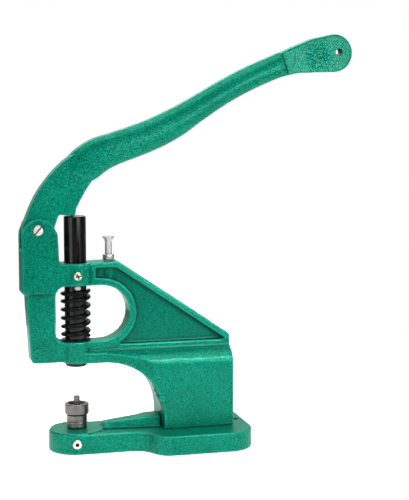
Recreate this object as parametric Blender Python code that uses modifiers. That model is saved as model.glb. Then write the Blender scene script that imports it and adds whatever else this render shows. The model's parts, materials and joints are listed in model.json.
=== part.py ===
"""Snap setting press: a bench hand press that closes snaps, rivets and eyelets.

A cast frame stands on a cast base plate.  A long lever, pinned in the frame's clevis, presses its
finger on the top of a sliding ram, and a coil spring on the ram lifts it again.  The frame's side
profile lies in the XZ plane: +X points to the rear, +Z points up, and the ram slides on the Z axis.
All lengths are metres.
"""

import math

import bmesh
import bpy
from mathutils import Matrix, Vector

# ---------------------------------------------------------------- driving dimensions
GAP = 0.0003                     # clearance kept between pieces that touch
ROUND_SIDES = 32                 # sides of a large round piece
SMALL_SIDES = 24                 # sides of a fastener
ARC_STEP = math.radians(15)      # largest turn between two points of a rounded corner

# Base plate
BASE_LENGTH = 0.1745
BASE_HALF_WIDTH = 0.048
BASE_THICKNESS = 0.0170
LOBE_RADIUS = 0.0245             # front lobe, round the ram axis
BASE_REAR = BASE_LENGTH - LOBE_RADIUS
WAIST_END = 0.053                # X of the corner where the waist starts to flare
FLARE_END = 0.066                # X of the corner where the flare reaches full width
FLARE_RADIUS = 0.016
REAR_CORNER_RADIUS = 0.024
BASE_EDGE = 0.0022               # rounding of the base's top and bottom edges
PAD_RADIUS = 0.0234              # raised pad under the die
PAD_TOP = 0.0186
RIB_START = 0.0225
RIB_FRONT_TOP = 0.0222           # top of the stiffening rib at the pad
RIB_REAR_TOP = 0.0272            # and at the column
RIB_FRONT_HALF_WIDTH = 0.0050
RIB_REAR_HALF_WIDTH = 0.0085
BENCH_HOLE_X = 0.1425
BENCH_HOLE_RADIUS = 0.0030
FRAME_BOLT_XS = (0.090, 0.120)
SOCKET_FLOOR = 0.0040            # floor of the blind socket for the lower die

# Lower die
DIE_STEM_RADIUS = 0.0050
DIE_NECK_RADIUS = 0.0089
DIE_HEAD_RADIUS = 0.0105
DIE_NECK_TOP = 0.0300
DIE_TOP = 0.0402
DIE_PIN_RADIUS = 0.0027
DIE_PIN_TOP = 0.0468
DIE_PIN_FOOT = 0.0300

# Ram and its guides
RAM_RADIUS = 0.00945
RAM_BOTTOM = 0.0732
RAM_TOP = 0.2030
RAM_SOCKET_RADIUS = 0.0040       # socket for an upper die's shank
RAM_SOCKET_DEPTH = 0.020
BOSS_RADIUS = 0.0135
LOWER_BOSS_BOTTOM = 0.0768
UPPER_BOSS_TOP = 0.1630
KEYWAY_HALF_WIDTH = 0.0021
KEYWAY_DEPTH = 0.0022
GUIDE_SCREW_Z = 0.1525

# Frame casting
HEAD_HALF_THICKNESS = 0.0120
SLOT_HALF_WIDTH = 0.0070
SLOT_FLOOR = 0.1755
EAR_RADIUS = 0.0149
HEAD_FRONT = -0.0470
HEAD_REAR = -0.0172
HEAD_TOP = 0.2020
HEAD_STEP_Z = 0.1382
POST_HALF_THICKNESS = 0.0097
POST_BOTTOM = 0.0780
WINDOW_LEFT = -0.0186            # D-shaped window round the spring
WINDOW_RIGHT = 0.0455
WINDOW_BOTTOM = 0.0953           # also the top of the lower guide boss
WINDOW_TOP = 0.1437              # also the underside of the upper guide boss
WINDOW_FRONT_RADIUS = 0.0078
RIM_WIDTH = 0.0062
RIM_HALF_THICKNESS = 0.0099
FLANGE_HALF_THICKNESS = 0.0101
FLANGE_KNEE = (0.0354, 0.1639)   # where the flat top turns down
FLANGE_END = (0.1356, 0.0957)
FLANGE_THICKNESS = 0.0052
WEB_HALF_THICKNESS = 0.0050
LEDGE_TOP = 0.0918               # lower edge of the recessed web
COLUMN_HALF_THICKNESS = 0.0220
COLUMN_REAR = 0.1352
COLUMN_FRONT = 0.0734
THROAT_TOP = 0.0765
THROAT_CENTRE = (0.0250, 0.0285)
THROAT_RADIUS = 0.0480
ARM_HALF_THICKNESS = 0.0130      # the arm where it leaves the lower boss
STOP_X = 0.0290
STOP_BOSS_RADIUS = 0.0056

# Return spring
WIRE_RADIUS = 0.00165
COIL_RADIUS = 0.01135            # centre of the wire
SPRING_TURNS = 6.0
SPRING_CLOSED_TURNS = 0.75       # flat turns at each end
SPRING_STEPS_PER_TURN = 18
WASHER_THICKNESS = 0.0012
SEAT_WASHER_RADIUS = 0.0125
KEY_HALF_WIDTH = 0.0026           # flat cross key through the ram, above the spring
KEY_HALF_HEIGHT = 0.0014
KEY_HALF_LENGTH = 0.0126
KEY_Z = WINDOW_TOP - GAP - KEY_HALF_HEIGHT

# Lever and pivot
PIVOT = Vector((-0.0330, 0.0, 0.1923))
PIN_RADIUS = 0.0040
PIN_HEAD_RADIUS = 0.0046
PIN_THREAD_RADIUS = 0.0030
PIVOT_WASHER_RADIUS = 0.0066
BUSH_RADIUS = 0.0055
HUB_RADIUS = 0.0130
ROOT_HALF_THICKNESS = 0.0066
PADDLE_HALF_THICKNESS = 0.0056
PADDLE_CENTRE = (0.2317, 0.3413)
PADDLE_RADIUS = 0.0165
PADDLE_HOLE = (0.2358, 0.3423)
PADDLE_HOLE_RADIUS = 0.0031
FINGER_Z = RAM_TOP + GAP
FINGER_TIP_X = -0.0005

# Front edge of the root plate, from inside the grip down to the clevis, and its rear edge going up
ROOT_FRONT = [(0.0240, 0.2645), (0.0110, 0.2615), (-0.0030, 0.2545), (-0.0150, 0.2450),
              (-0.0280, 0.2300), (-0.0370, 0.2150), (-0.0430, 0.2007)]
ROOT_REAR = [(0.0005, 0.2095), (0.0046, 0.2175), (0.0086, 0.2245), (0.0141, 0.2325),
             (0.0216, 0.2415), (0.0296, 0.2495)]
NOTCH = [(-0.0184, 0.1935), (-0.0145, 0.2045)]

# Grip stations: X and Z of the centre, half height, half thickness, and the section's exponent
# (2 is an ellipse, more is squarer)
GRIP = [(-0.0030, 0.2370, 0.0100, 0.0050, 2.4), (0.0010, 0.2415, 0.0132, 0.0076, 2.8),
        (0.0090, 0.2465, 0.0156, 0.0088, 3.4), (0.0205, 0.2543, 0.0152, 0.0093, 3.2),
        (0.0345, 0.2598, 0.0141, 0.0095, 2.8), (0.0515, 0.2655, 0.0138, 0.0095, 2.5),
        (0.0695, 0.2723, 0.0136, 0.0095, 2.4), (0.0880, 0.2813, 0.0130, 0.0094, 2.3),
        (0.1035, 0.2907, 0.0116, 0.0093, 2.3), (0.1240, 0.3033, 0.0107, 0.0092, 2.3),
        (0.1420, 0.3133, 0.0105, 0.0092, 2.3), (0.1600, 0.3219, 0.0105, 0.0092, 2.3),
        (0.1770, 0.3289, 0.0105, 0.0090, 2.5), (0.1850, 0.3319, 0.0111, 0.0088, 2.6)]
GRIP_SIDES = 20

# Fasteners
M6_RADIUS = 0.0030
M6_NUT_RADIUS = 0.0100 / math.sqrt(3)     # corner radius of a 10 mm hexagon
M6_NUT_HEIGHT = 0.0050
BOLT_HEAD_RADIUS = 0.0050
BOLT_HEAD_HEIGHT = 0.0060
BOLT_HEAD_BOTTOM = 0.0005
BOLT_TOP = 0.0320
BOLT_SOCKET_RADIUS = 0.0029
SET_SCREW_RADIUS = 0.0039
SET_SCREW_Z = 0.0092
SET_SCREW_TURN = math.radians(-9)       # its axis, round Z, from straight across
SET_SCREW_SOCKET_RADIUS = 0.0016
SET_SCREW_PROUD = 0.0008
GUIDE_HEAD_RADIUS = 0.0037
GUIDE_SHANK_RADIUS = 0.0020
GUIDE_HEAD_HEIGHT = 0.0022
STOP_HEAD_RADIUS = 0.0049
STOP_HEAD_TOP = 0.1849
STOP_HEAD_BOTTOM = 0.1802
STOP_TIP = 0.1540

# Colours: linear RGB, metallic, roughness
GREEN = ((0.008, 0.262, 0.162), 0.15, 0.32)
BLACK_STEEL = ((0.012, 0.012, 0.013), 0.80, 0.35)
BRIGHT_STEEL = ((0.52, 0.50, 0.47), 1.00, 0.28)
ZINC = ((0.62, 0.62, 0.58), 1.00, 0.30)
BRONZE = ((0.45, 0.27, 0.10), 1.00, 0.35)


# ---------------------------------------------------------------- scene, materials and helpers
def clear_scene():
    for item in list(bpy.data.objects):
        bpy.data.objects.remove(item, do_unlink=True)


def make_collection(name):
    group = bpy.data.collections.new(name)
    bpy.context.scene.collection.children.link(group)
    return group


def make_material(name, finish):
    colour, metallic, roughness = finish
    material = bpy.data.materials.new(name)
    material.use_nodes = True
    shader = material.node_tree.nodes["Principled BSDF"]
    shader.inputs["Base Color"].default_value = (*colour, 1.0)
    shader.inputs["Metallic"].default_value = metallic
    shader.inputs["Roughness"].default_value = roughness
    return material


def add_mesh_object(name, mesh, group):
    item = bpy.data.objects.new(name, mesh)
    group.objects.link(item)
    return item


def tool(item):
    """Marks an object that only joins or cuts another one."""
    item.hide_render = True
    item.display_type = "WIRE"
    return item


def finish_part(item, name, finish):
    item.data.materials.clear()
    item.data.materials.append(make_material(name + "_finish", finish))
    item.data.shade_smooth()
    item.data.set_sharp_from_angle(angle=math.radians(35))
    return item


def place_origin(item, point):
    """Moves an object's origin to a point without moving its shape."""
    item.data.transform(Matrix.Translation(-Vector(point)))
    item.location = point


def boolean(target, other, operation):
    modifier = target.modifiers.new(other.name, "BOOLEAN")
    modifier.operation = operation
    modifier.solver = "EXACT"
    modifier.object = other


def rounded(corners):
    """Outline points from (x, y, radius) corners, each rounded with a tangent arc."""
    points = []
    count = len(corners)
    for index, (x, y, radius) in enumerate(corners):
        corner = Vector((x, y))
        before = (Vector(corners[index - 1][:2]) - corner).normalized()
        after = (Vector(corners[(index + 1) % count][:2]) - corner).normalized()
        if radius == 0:
            points.append((x, y))
            continue
        opening = before.angle(after)
        turn = math.pi - opening
        reach = radius / math.tan(opening / 2)
        centre = corner + (before + after).normalized() * radius / math.sin(opening / 2)
        start = corner + before * reach - centre
        side = 1 if before.cross(after) < 0 else -1
        steps = max(2, math.ceil(turn / ARC_STEP))
        for step in range(steps + 1):
            angle = side * turn * step / steps
            point = centre + Matrix.Rotation(angle, 2) @ start
            points.append((point.x, point.y))
    return points


def arc(centre, radius, start_deg, end_deg, steps):
    points = []
    for step in range(steps + 1):
        angle = math.radians(start_deg + (end_deg - start_deg) * step / steps)
        points.append((centre[0] + radius * math.cos(angle), centre[1] + radius * math.sin(angle)))
    return points


def smooth_line(points, steps):
    """Catmull-Rom curve through points of any dimension."""
    knots = [Vector(point) for point in points]
    knots = [2 * knots[0] - knots[1]] + knots + [2 * knots[-1] - knots[-2]]
    line = []
    for index in range(1, len(knots) - 2):
        a, b, c, d = knots[index - 1:index + 3]
        for step in range(steps):
            t = step / steps
            line.append(0.5 * (2 * b + (c - a) * t + (2 * a - 5 * b + 4 * c - d) * t * t
                               + (3 * b - a - 3 * c + d) * t ** 3))
    line.append(knots[-2])
    return line


def prism(name, outline, half_thickness, group, plane="XZ"):
    """A flat outline, extruded both ways across its plane."""
    curve = bpy.data.curves.new(name, "CURVE")
    curve.dimensions = "2D"
    curve.fill_mode = "BOTH"
    curve.extrude = half_thickness
    spline = curve.splines.new("POLY")
    spline.points.add(len(outline) - 1)
    for point, place in zip(spline.points, outline):
        point.co = (place[0], place[1], 0.0, 1.0)
    spline.use_cyclic_u = True
    turns = {"XY": Matrix.Identity(4),
             "XZ": Matrix.Rotation(math.pi / 2, 4, "X"),
             "YZ": Matrix(((0, 0, 1, 0), (1, 0, 0, 0), (0, 1, 0, 0), (0, 0, 0, 1)))}
    return curve_to_mesh(name, curve, turns[plane], group)


def curve_to_mesh(name, curve, matrix, group):
    """Makes a welded mesh object from a curve, in world coordinates."""
    guide = bpy.data.objects.new(name + "_guide", curve)
    group.objects.link(guide)
    bpy.context.view_layer.update()
    evaluated = guide.evaluated_get(bpy.context.evaluated_depsgraph_get())
    mesh = bpy.data.meshes.new_from_object(evaluated)
    bpy.data.objects.remove(guide, do_unlink=True)
    bpy.data.curves.remove(curve)
    weld = bmesh.new()
    weld.from_mesh(mesh)
    bmesh.ops.remove_doubles(weld, verts=weld.verts, dist=0.000001)
    weld.transform(matrix)
    weld.to_mesh(mesh)
    weld.free()
    mesh.name = name
    return add_mesh_object(name, mesh, group)


def cylinder(name, radius, low, high, group, centre=(0.0, 0.0), sides=SMALL_SIDES, axis="Z"):
    """A round bar between two heights on its axis."""
    build = bmesh.new()
    bmesh.ops.create_cone(build, cap_ends=True, segments=sides, radius1=radius, radius2=radius,
                          depth=high - low)
    middle = (low + high) / 2
    if axis == "Z":
        matrix = Matrix.Translation((centre[0], centre[1], middle))
    else:
        turn = Matrix.Rotation(math.pi / 2, 4, "X")
        matrix = Matrix.Translation((centre[0], middle, centre[1])) @ turn
    build.transform(matrix)
    mesh = bpy.data.meshes.new(name)
    build.to_mesh(mesh)
    build.free()
    return add_mesh_object(name, mesh, group)


def box(name, low, high, group):
    build = bmesh.new()
    bmesh.ops.create_cube(build, size=1.0)
    size = Vector(high) - Vector(low)
    middle = (Vector(high) + Vector(low)) / 2
    build.transform(Matrix.Translation(middle) @ Matrix.Diagonal((*size, 1.0)))
    mesh = bpy.data.meshes.new(name)
    build.to_mesh(mesh)
    build.free()
    return add_mesh_object(name, mesh, group)


def turned(name, profile, group, closed=False, sides=ROUND_SIDES):
    """Turns a profile of (radius, height) points round Z.  Its outer side runs from top to bottom."""
    mesh = bpy.data.meshes.new(name)
    points = [(radius, 0.0, height) for radius, height in profile]
    edges = [(index, index + 1) for index in range(len(points) - 1)]
    if closed:
        edges.append((len(points) - 1, 0))
    mesh.from_pydata(points, edges, [])
    item = add_mesh_object(name, mesh, group)
    screw = item.modifiers.new("turn", "SCREW")
    screw.axis = "Z"
    screw.steps = sides
    screw.render_steps = sides
    screw.use_merge_vertices = True
    screw.merge_threshold = 0.00001
    bpy.context.view_layer.update()
    evaluated = item.evaluated_get(bpy.context.evaluated_depsgraph_get())
    solid = bpy.data.meshes.new_from_object(evaluated)
    item.modifiers.clear()
    item.data = solid
    return item


def lay_along_y(item, place, towards=1):
    """Turns a piece made round Z so that its top points along +Y or -Y, and moves it to a place."""
    turn = Matrix.Rotation(-towards * math.pi / 2, 4, "X")
    item.data.transform(Matrix.Translation(Vector(place)) @ turn)


# ---------------------------------------------------------------- base plate
def make_base_plate(parts, tools):
    flare = [(0.0, -LOBE_RADIUS), (WAIST_END, -LOBE_RADIUS, FLARE_RADIUS),
             (FLARE_END, -BASE_HALF_WIDTH, FLARE_RADIUS),
             (BASE_REAR, -BASE_HALF_WIDTH, REAR_CORNER_RADIUS)]
    near = [corner if len(corner) == 3 else (*corner, 0) for corner in flare]
    far = [(x, -y, radius) for x, y, radius in reversed(near)]
    outline = rounded(near + far) + arc((0.0, 0.0), LOBE_RADIUS, 90, 270, 16)[1:-1]
    base = prism("base_plate", outline, BASE_THICKNESS / 2, parts, plane="XY")
    base.data.transform(Matrix.Translation((0, 0, BASE_THICKNESS / 2)))
    bevel = base.modifiers.new("edge_rounding", "BEVEL")
    bevel.width = BASE_EDGE
    bevel.segments = 2
    bevel.limit_method = "ANGLE"
    bevel.angle_limit = math.radians(60)

    pad = tool(cylinder("pad", PAD_RADIUS, BASE_THICKNESS - 0.004, PAD_TOP, tools, sides=40))
    boolean(base, pad, "UNION")
    boolean(base, make_rib(tools), "UNION")
    socket = tool(cylinder("die_socket", DIE_STEM_RADIUS + GAP, SOCKET_FLOOR, PAD_TOP + 0.010, tools))
    boolean(base, socket, "DIFFERENCE")
    bench = tool(cylinder("bench_hole", BENCH_HOLE_RADIUS, -0.010, BASE_THICKNESS + 0.010, tools,
                          centre=(BENCH_HOLE_X, 0.0)))
    boolean(base, bench, "DIFFERENCE")
    cross = tool(cylinder("set_screw_hole", SET_SCREW_RADIUS + GAP, -LOBE_RADIUS - 0.005, 0.0, tools,
                          centre=(0.0, SET_SCREW_Z), axis="Y"))
    cross.data.transform(Matrix.Rotation(SET_SCREW_TURN, 4, "Z"))
    boolean(base, cross, "DIFFERENCE")
    for index, x in enumerate(FRAME_BOLT_XS):
        shank = tool(cylinder(f"bolt_hole_{index}", M6_RADIUS + GAP, -0.010, BASE_THICKNESS + 0.010,
                              tools, centre=(x, 0.0)))
        boolean(base, shank, "DIFFERENCE")
        seat_top = BOLT_HEAD_BOTTOM + BOLT_HEAD_HEIGHT + WASHER_THICKNESS + 2 * GAP
        seat = tool(cylinder(f"bolt_seat_{index}", BOLT_HEAD_RADIUS + 0.0008, -0.010, seat_top,
                             tools, centre=(x, 0.0)))
        boolean(base, seat, "DIFFERENCE")
    return finish_part(base, "base_plate", GREEN)


def make_rib(tools):
    """A tapered bar from the pad to the column, wider and taller at the column."""
    build = bmesh.new()
    bmesh.ops.create_cube(build, size=1.0)
    rear = COLUMN_FRONT - 0.0010
    for vertex in build.verts:
        at_rear = vertex.co.x > 0
        half = RIB_REAR_HALF_WIDTH if at_rear else RIB_FRONT_HALF_WIDTH
        top = RIB_REAR_TOP if at_rear else RIB_FRONT_TOP
        foot = 0.0030 if vertex.co.z < 0 else 0.0
        vertex.co = Vector((rear if at_rear else RIB_START,
                            math.copysign(half + foot, vertex.co.y),
                            top if vertex.co.z > 0 else BASE_THICKNESS - 0.003))
    mesh = bpy.data.meshes.new("rib")
    build.to_mesh(mesh)
    build.free()
    rib = tool(add_mesh_object("rib", mesh, tools))
    lobe = tool(cylinder("rib_front", DIE_NECK_RADIUS + 0.0012, 0.0, 0.050, tools))
    boolean(rib, lobe, "DIFFERENCE")
    return rib


def make_frame_bolts(parts, tools):
    for name, x in zip(("front", "rear"), FRAME_BOLT_XS):
        head_top = BOLT_HEAD_BOTTOM + BOLT_HEAD_HEIGHT
        edge = 0.0004
        profile = [(0, BOLT_TOP), (M6_RADIUS - edge, BOLT_TOP), (M6_RADIUS, BOLT_TOP - edge),
                   (M6_RADIUS, head_top), (BOLT_HEAD_RADIUS, head_top),
                   (BOLT_HEAD_RADIUS, BOLT_HEAD_BOTTOM + edge),
                   (BOLT_HEAD_RADIUS - edge, BOLT_HEAD_BOTTOM), (0, BOLT_HEAD_BOTTOM)]
        bolt = turned(f"base_bolt_{name}", profile, parts, sides=SMALL_SIDES)
        bolt.location.x = x
        key = tool(cylinder(f"bolt_key_{name}", BOLT_SOCKET_RADIUS, -0.001, BOLT_HEAD_BOTTOM + 0.003,
                            tools, centre=(x, 0.0), sides=6))
        boolean(bolt, key, "DIFFERENCE")
        finish_part(bolt, bolt.name, BLACK_STEEL)
        low = head_top + GAP
        washer = make_ring(f"base_washer_{name}", M6_RADIUS + GAP, BOLT_HEAD_RADIUS, low,
                           low + WASHER_THICKNESS, parts)
        washer.location.x = x
        finish_part(washer, washer.name, ZINC)


def make_ring(name, inner, outer, low, high, parts, sides=SMALL_SIDES):
    profile = [(outer, high), (outer, low), (inner, low), (inner, high)]
    return turned(name, profile, parts, closed=True, sides=sides)


# ---------------------------------------------------------------- lower die
def make_lower_die(parts):
    seat = PAD_TOP + GAP
    groove_floor = DIE_TOP - 0.0026
    hole = DIE_PIN_RADIUS + GAP
    profile = [(0, DIE_PIN_FOOT - GAP), (hole, DIE_PIN_FOOT - GAP), (hole, groove_floor + 0.0006),
               (0.0042, groove_floor), (0.0068, groove_floor), (0.0078, DIE_TOP - 0.0002),
               (0.0082, DIE_TOP), (DIE_HEAD_RADIUS - 0.0007, DIE_TOP),
               (DIE_HEAD_RADIUS, DIE_TOP - 0.0007), (DIE_HEAD_RADIUS, DIE_NECK_TOP + 0.0018),
               (DIE_NECK_RADIUS, DIE_NECK_TOP), (DIE_NECK_RADIUS, seat + 0.0004),
               (DIE_NECK_RADIUS - 0.0004, seat), (DIE_STEM_RADIUS, seat),
               (DIE_STEM_RADIUS, SOCKET_FLOOR + 0.0010),
               (DIE_STEM_RADIUS - 0.0007, SOCKET_FLOOR + GAP), (0, SOCKET_FLOOR + GAP)]
    die = turned("lower_die", profile, parts)
    finish_part(die, "lower_die", BRIGHT_STEEL)
    dome = 0.0009
    pin_profile = [(0, DIE_PIN_TOP), (DIE_PIN_RADIUS - dome, DIE_PIN_TOP - 0.0001),
                   (DIE_PIN_RADIUS - dome / 4, DIE_PIN_TOP - dome / 2), (DIE_PIN_RADIUS, DIE_PIN_TOP - dome),
                   (DIE_PIN_RADIUS, DIE_PIN_FOOT), (0, DIE_PIN_FOOT)]
    pin = turned("die_pilot_pin", pin_profile, parts, sides=SMALL_SIDES)
    finish_part(pin, "die_pilot_pin", BRIGHT_STEEL)


def make_die_set_screw(parts, tools):
    outer_end = LOBE_RADIUS + SET_SCREW_PROUD
    inner_end = DIE_STEM_RADIUS + GAP
    edge = 0.0006
    profile = [(0, outer_end), (SET_SCREW_RADIUS - edge, outer_end), (SET_SCREW_RADIUS, outer_end - edge),
               (SET_SCREW_RADIUS, inner_end + 0.0012), (SET_SCREW_RADIUS - 0.0012, inner_end),
               (0, inner_end)]
    screw = turned("die_set_screw", profile, parts, sides=SMALL_SIDES)
    lay_along_y(screw, (0.0, 0.0, SET_SCREW_Z), towards=-1)
    key = tool(cylinder("set_screw_key", SET_SCREW_SOCKET_RADIUS, -outer_end - 0.001,
                        -outer_end + 0.004, tools, centre=(0.0, SET_SCREW_Z), sides=6, axis="Y"))
    for piece in (screw, key):
        piece.data.transform(Matrix.Rotation(SET_SCREW_TURN, 4, "Z"))
    boolean(screw, key, "DIFFERENCE")
    finish_part(screw, "die_set_screw", ZINC)


# ---------------------------------------------------------------- frame casting
def make_frame_casting(parts, tools):
    casting = prism("frame_casting", head_outline(), HEAD_HALF_THICKNESS, parts)
    pieces = [
        prism("post", post_outline(), POST_HALF_THICKNESS, tools),
        prism("rim", rim_outline(), RIM_HALF_THICKNESS, tools),
        prism("flange", flange_outline(), FLANGE_HALF_THICKNESS, tools),
        prism("web", web_outline(), WEB_HALF_THICKNESS, tools),
        cylinder("lower_boss", BOSS_RADIUS, LOWER_BOSS_BOTTOM, WINDOW_BOTTOM + 0.002, tools,
                 sides=ROUND_SIDES),
        cylinder("upper_boss", BOSS_RADIUS, WINDOW_TOP - 0.002, UPPER_BOSS_TOP, tools,
                 sides=ROUND_SIDES),
        cylinder("stop_boss", STOP_BOSS_RADIUS, WINDOW_TOP + 0.0035, FLANGE_KNEE[1] - 0.0010, tools,
                 centre=(STOP_X, 0.0)),
        make_column(tools),
    ]
    for piece in pieces:
        boolean(casting, tool(piece), "UNION")
    cut_frame(casting, tools)
    return finish_part(casting, "frame_casting", GREEN)


def head_outline():
    joint = 0.0100               # the head runs on to here, inside the upper boss
    return rounded([(HEAD_FRONT, HEAD_STEP_Z, 0.0008), (HEAD_FRONT, HEAD_TOP, EAR_RADIUS),
                    (HEAD_REAR, HEAD_TOP, EAR_RADIUS), (HEAD_REAR, 0.1905, 0),
                    (-0.0163, 0.1883, 0), (-0.0152, UPPER_BOSS_TOP - 0.0004, 0.0045),
                    (joint, UPPER_BOSS_TOP - 0.0004, 0), (joint, HEAD_STEP_Z, 0)])


def post_outline():
    return rounded([(-0.0438, HEAD_STEP_Z + 0.010, 0), (-0.0400, POST_BOTTOM, 0.0040),
                    (0.0040, POST_BOTTOM, 0), (0.0040, HEAD_STEP_Z + 0.010, 0)])


def rim_outline():
    outer = (WINDOW_TOP - WINDOW_BOTTOM) / 2 + RIM_WIDTH
    right = WINDOW_RIGHT + RIM_WIDTH
    low = WINDOW_BOTTOM - RIM_WIDTH
    high = WINDOW_TOP + RIM_WIDTH
    return rounded([(-0.030, low, 0), (right, low, outer - 0.00005),
                    (right, high, outer - 0.00005), (-0.030, high, 0)])


def flange_outline():
    slope = Vector(FLANGE_END) - Vector(FLANGE_KNEE)
    inward = Vector((slope.y, -slope.x)).normalized() * FLANGE_THICKNESS
    low_end = Vector(FLANGE_END) + inward
    low_z = FLANGE_KNEE[1] - FLANGE_THICKNESS
    knee = Vector(FLANGE_KNEE) + inward
    low_knee_x = knee.x + (low_z - knee.y) * slope.x / slope.y
    rear = COLUMN_REAR - 0.0002
    return rounded([(0.0020, low_z, 0), (low_knee_x, low_z, 0.0040),
                    (low_end.x - 0.002, low_end.y + 0.001, 0), (rear, low_end.y, 0),
                    (rear, FLANGE_END[1] + 0.0006, 0.0030), (*FLANGE_KNEE, 0.0060),
                    (0.0020, UPPER_BOSS_TOP - 0.0002, 0)])


def web_outline():
    return [(0.0050, 0.0845), (COLUMN_REAR - 0.0010, 0.0845), (COLUMN_REAR - 0.0010, 0.0935),
            (FLANGE_KNEE[0] - 0.002, FLANGE_KNEE[1] - 0.0040), (0.0050, FLANGE_KNEE[1] - 0.0040)]


def make_column(tools):
    """The arm and column: a side profile, trimmed to its cross-section and to its plan shape."""
    foot = BASE_THICKNESS + GAP
    side = [(-0.0020, THROAT_TOP), (THROAT_CENTRE[0], THROAT_TOP)]
    side += arc(THROAT_CENTRE, THROAT_RADIUS, 90, 4, 14)[1:]
    side += [(COLUMN_FRONT, foot + 0.004), (COLUMN_FRONT, foot), (COLUMN_REAR, foot),
             (COLUMN_REAR, LEDGE_TOP), (-0.0020, LEDGE_TOP)]
    column = prism("column", side, COLUMN_HALF_THICKNESS + 0.002, tools)
    section = prism("column_section", column_section(), 0.2, tools, plane="YZ")
    plan = prism("column_plan", column_plan(), 0.2, tools, plane="XY")
    boolean(column, tool(section), "INTERSECT")
    boolean(column, tool(plan), "INTERSECT")
    return column


def column_section():
    half = COLUMN_HALF_THICKNESS
    neck = RIM_HALF_THICKNESS - 0.0006
    right = [(half, 0.0), (half, 0.0855, 0.0135), (neck, 0.0855, 0.0030), (neck, 0.2)]
    right = [(*corner, 0) if len(corner) == 2 else corner for corner in right]
    left = [(-x, z, radius) for x, z, radius in reversed(right)]
    return rounded(right + left)


def column_plan():
    half = COLUMN_HALF_THICKNESS + 0.0001
    right = [(-0.010, -ARM_HALF_THICKNESS, 0), (0.022, -ARM_HALF_THICKNESS, 0.030),
             (0.066, -half, 0.040), (0.150, -half, 0)]
    left = [(x, -y, radius) for x, y, radius in reversed(right)]
    return rounded(right + left)


def cut_frame(casting, tools):
    window = rounded([(WINDOW_LEFT, WINDOW_BOTTOM, WINDOW_FRONT_RADIUS),
                      (WINDOW_RIGHT, WINDOW_BOTTOM, (WINDOW_TOP - WINDOW_BOTTOM) / 2 - 0.00005),
                      (WINDOW_RIGHT, WINDOW_TOP, (WINDOW_TOP - WINDOW_BOTTOM) / 2 - 0.00005),
                      (WINDOW_LEFT, WINDOW_TOP, WINDOW_FRONT_RADIUS)])
    boss = BOSS_RADIUS + 0.002
    cutters = [
        prism("window", window, boss + 0.010, tools),
        box("clevis_slot", (HEAD_FRONT - 0.01, -SLOT_HALF_WIDTH, SLOT_FLOOR),
            (HEAD_REAR + 0.01, SLOT_HALF_WIDTH, HEAD_TOP + 0.01), tools),
        cylinder("ram_bore", RAM_RADIUS + GAP, LOWER_BOSS_BOTTOM - 0.01, UPPER_BOSS_TOP + 0.01, tools,
                 sides=ROUND_SIDES),
        cylinder("guide_screw_hole", GUIDE_SHANK_RADIUS + GAP, -0.02, 0.0, tools,
                 centre=(0.0, GUIDE_SCREW_Z), axis="Y"),
        cylinder("near_ear_hole", PIN_HEAD_RADIUS + GAP, -0.03, 0.0, tools,
                 centre=(PIVOT.x, PIVOT.z), axis="Y"),
        cylinder("far_ear_hole", PIN_RADIUS + GAP, 0.0, 0.03, tools,
                 centre=(PIVOT.x, PIVOT.z), axis="Y"),
        cylinder("stop_hole", M6_RADIUS + GAP, WINDOW_TOP - 0.006, FLANGE_KNEE[1] + 0.01, tools,
                 centre=(STOP_X, 0.0)),
    ]
    for index, x in enumerate(FRAME_BOLT_XS):
        cutters.append(cylinder(f"tapped_hole_{index}", M6_RADIUS + GAP, 0.010, BOLT_TOP + 0.001,
                                tools, centre=(x, 0.0)))
    for cutter in cutters:
        boolean(casting, tool(cutter), "DIFFERENCE")


# ---------------------------------------------------------------- screws on the frame
def make_ram_guide_screw(parts, tools):
    face = BOSS_RADIUS + GAP
    top = face + GUIDE_HEAD_HEIGHT
    tip = RAM_RADIUS - KEYWAY_DEPTH + GAP
    crown = 0.0007
    profile = [(0, top), (GUIDE_HEAD_RADIUS - 2 * crown, top), (GUIDE_HEAD_RADIUS - crown / 2, top - crown),
               (GUIDE_HEAD_RADIUS, top - 2 * crown), (GUIDE_HEAD_RADIUS, face), (GUIDE_SHANK_RADIUS, face),
               (GUIDE_SHANK_RADIUS, RAM_RADIUS + 0.001), (GUIDE_SHANK_RADIUS - 0.0005, RAM_RADIUS),
               (GUIDE_SHANK_RADIUS - 0.0005, tip), (0, tip)]
    screw = turned("ram_guide_screw", profile, parts, sides=SMALL_SIDES)
    lay_along_y(screw, (0.0, 0.0, GUIDE_SCREW_Z), towards=-1)
    long_half = 0.0021
    short_half = 0.0005
    recess = box("cross_recess", (-long_half, -top - 0.001, GUIDE_SCREW_Z - short_half),
                 (long_half, -top + 0.0012, GUIDE_SCREW_Z + short_half), tools)
    upright = box("cross_recess_upright", (-short_half, -top - 0.001, GUIDE_SCREW_Z - long_half),
                  (short_half, -top + 0.00121, GUIDE_SCREW_Z + long_half), tools)
    boolean(screw, tool(recess), "DIFFERENCE")
    boolean(screw, tool(upright), "DIFFERENCE")
    finish_part(screw, "ram_guide_screw", ZINC)


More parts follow.
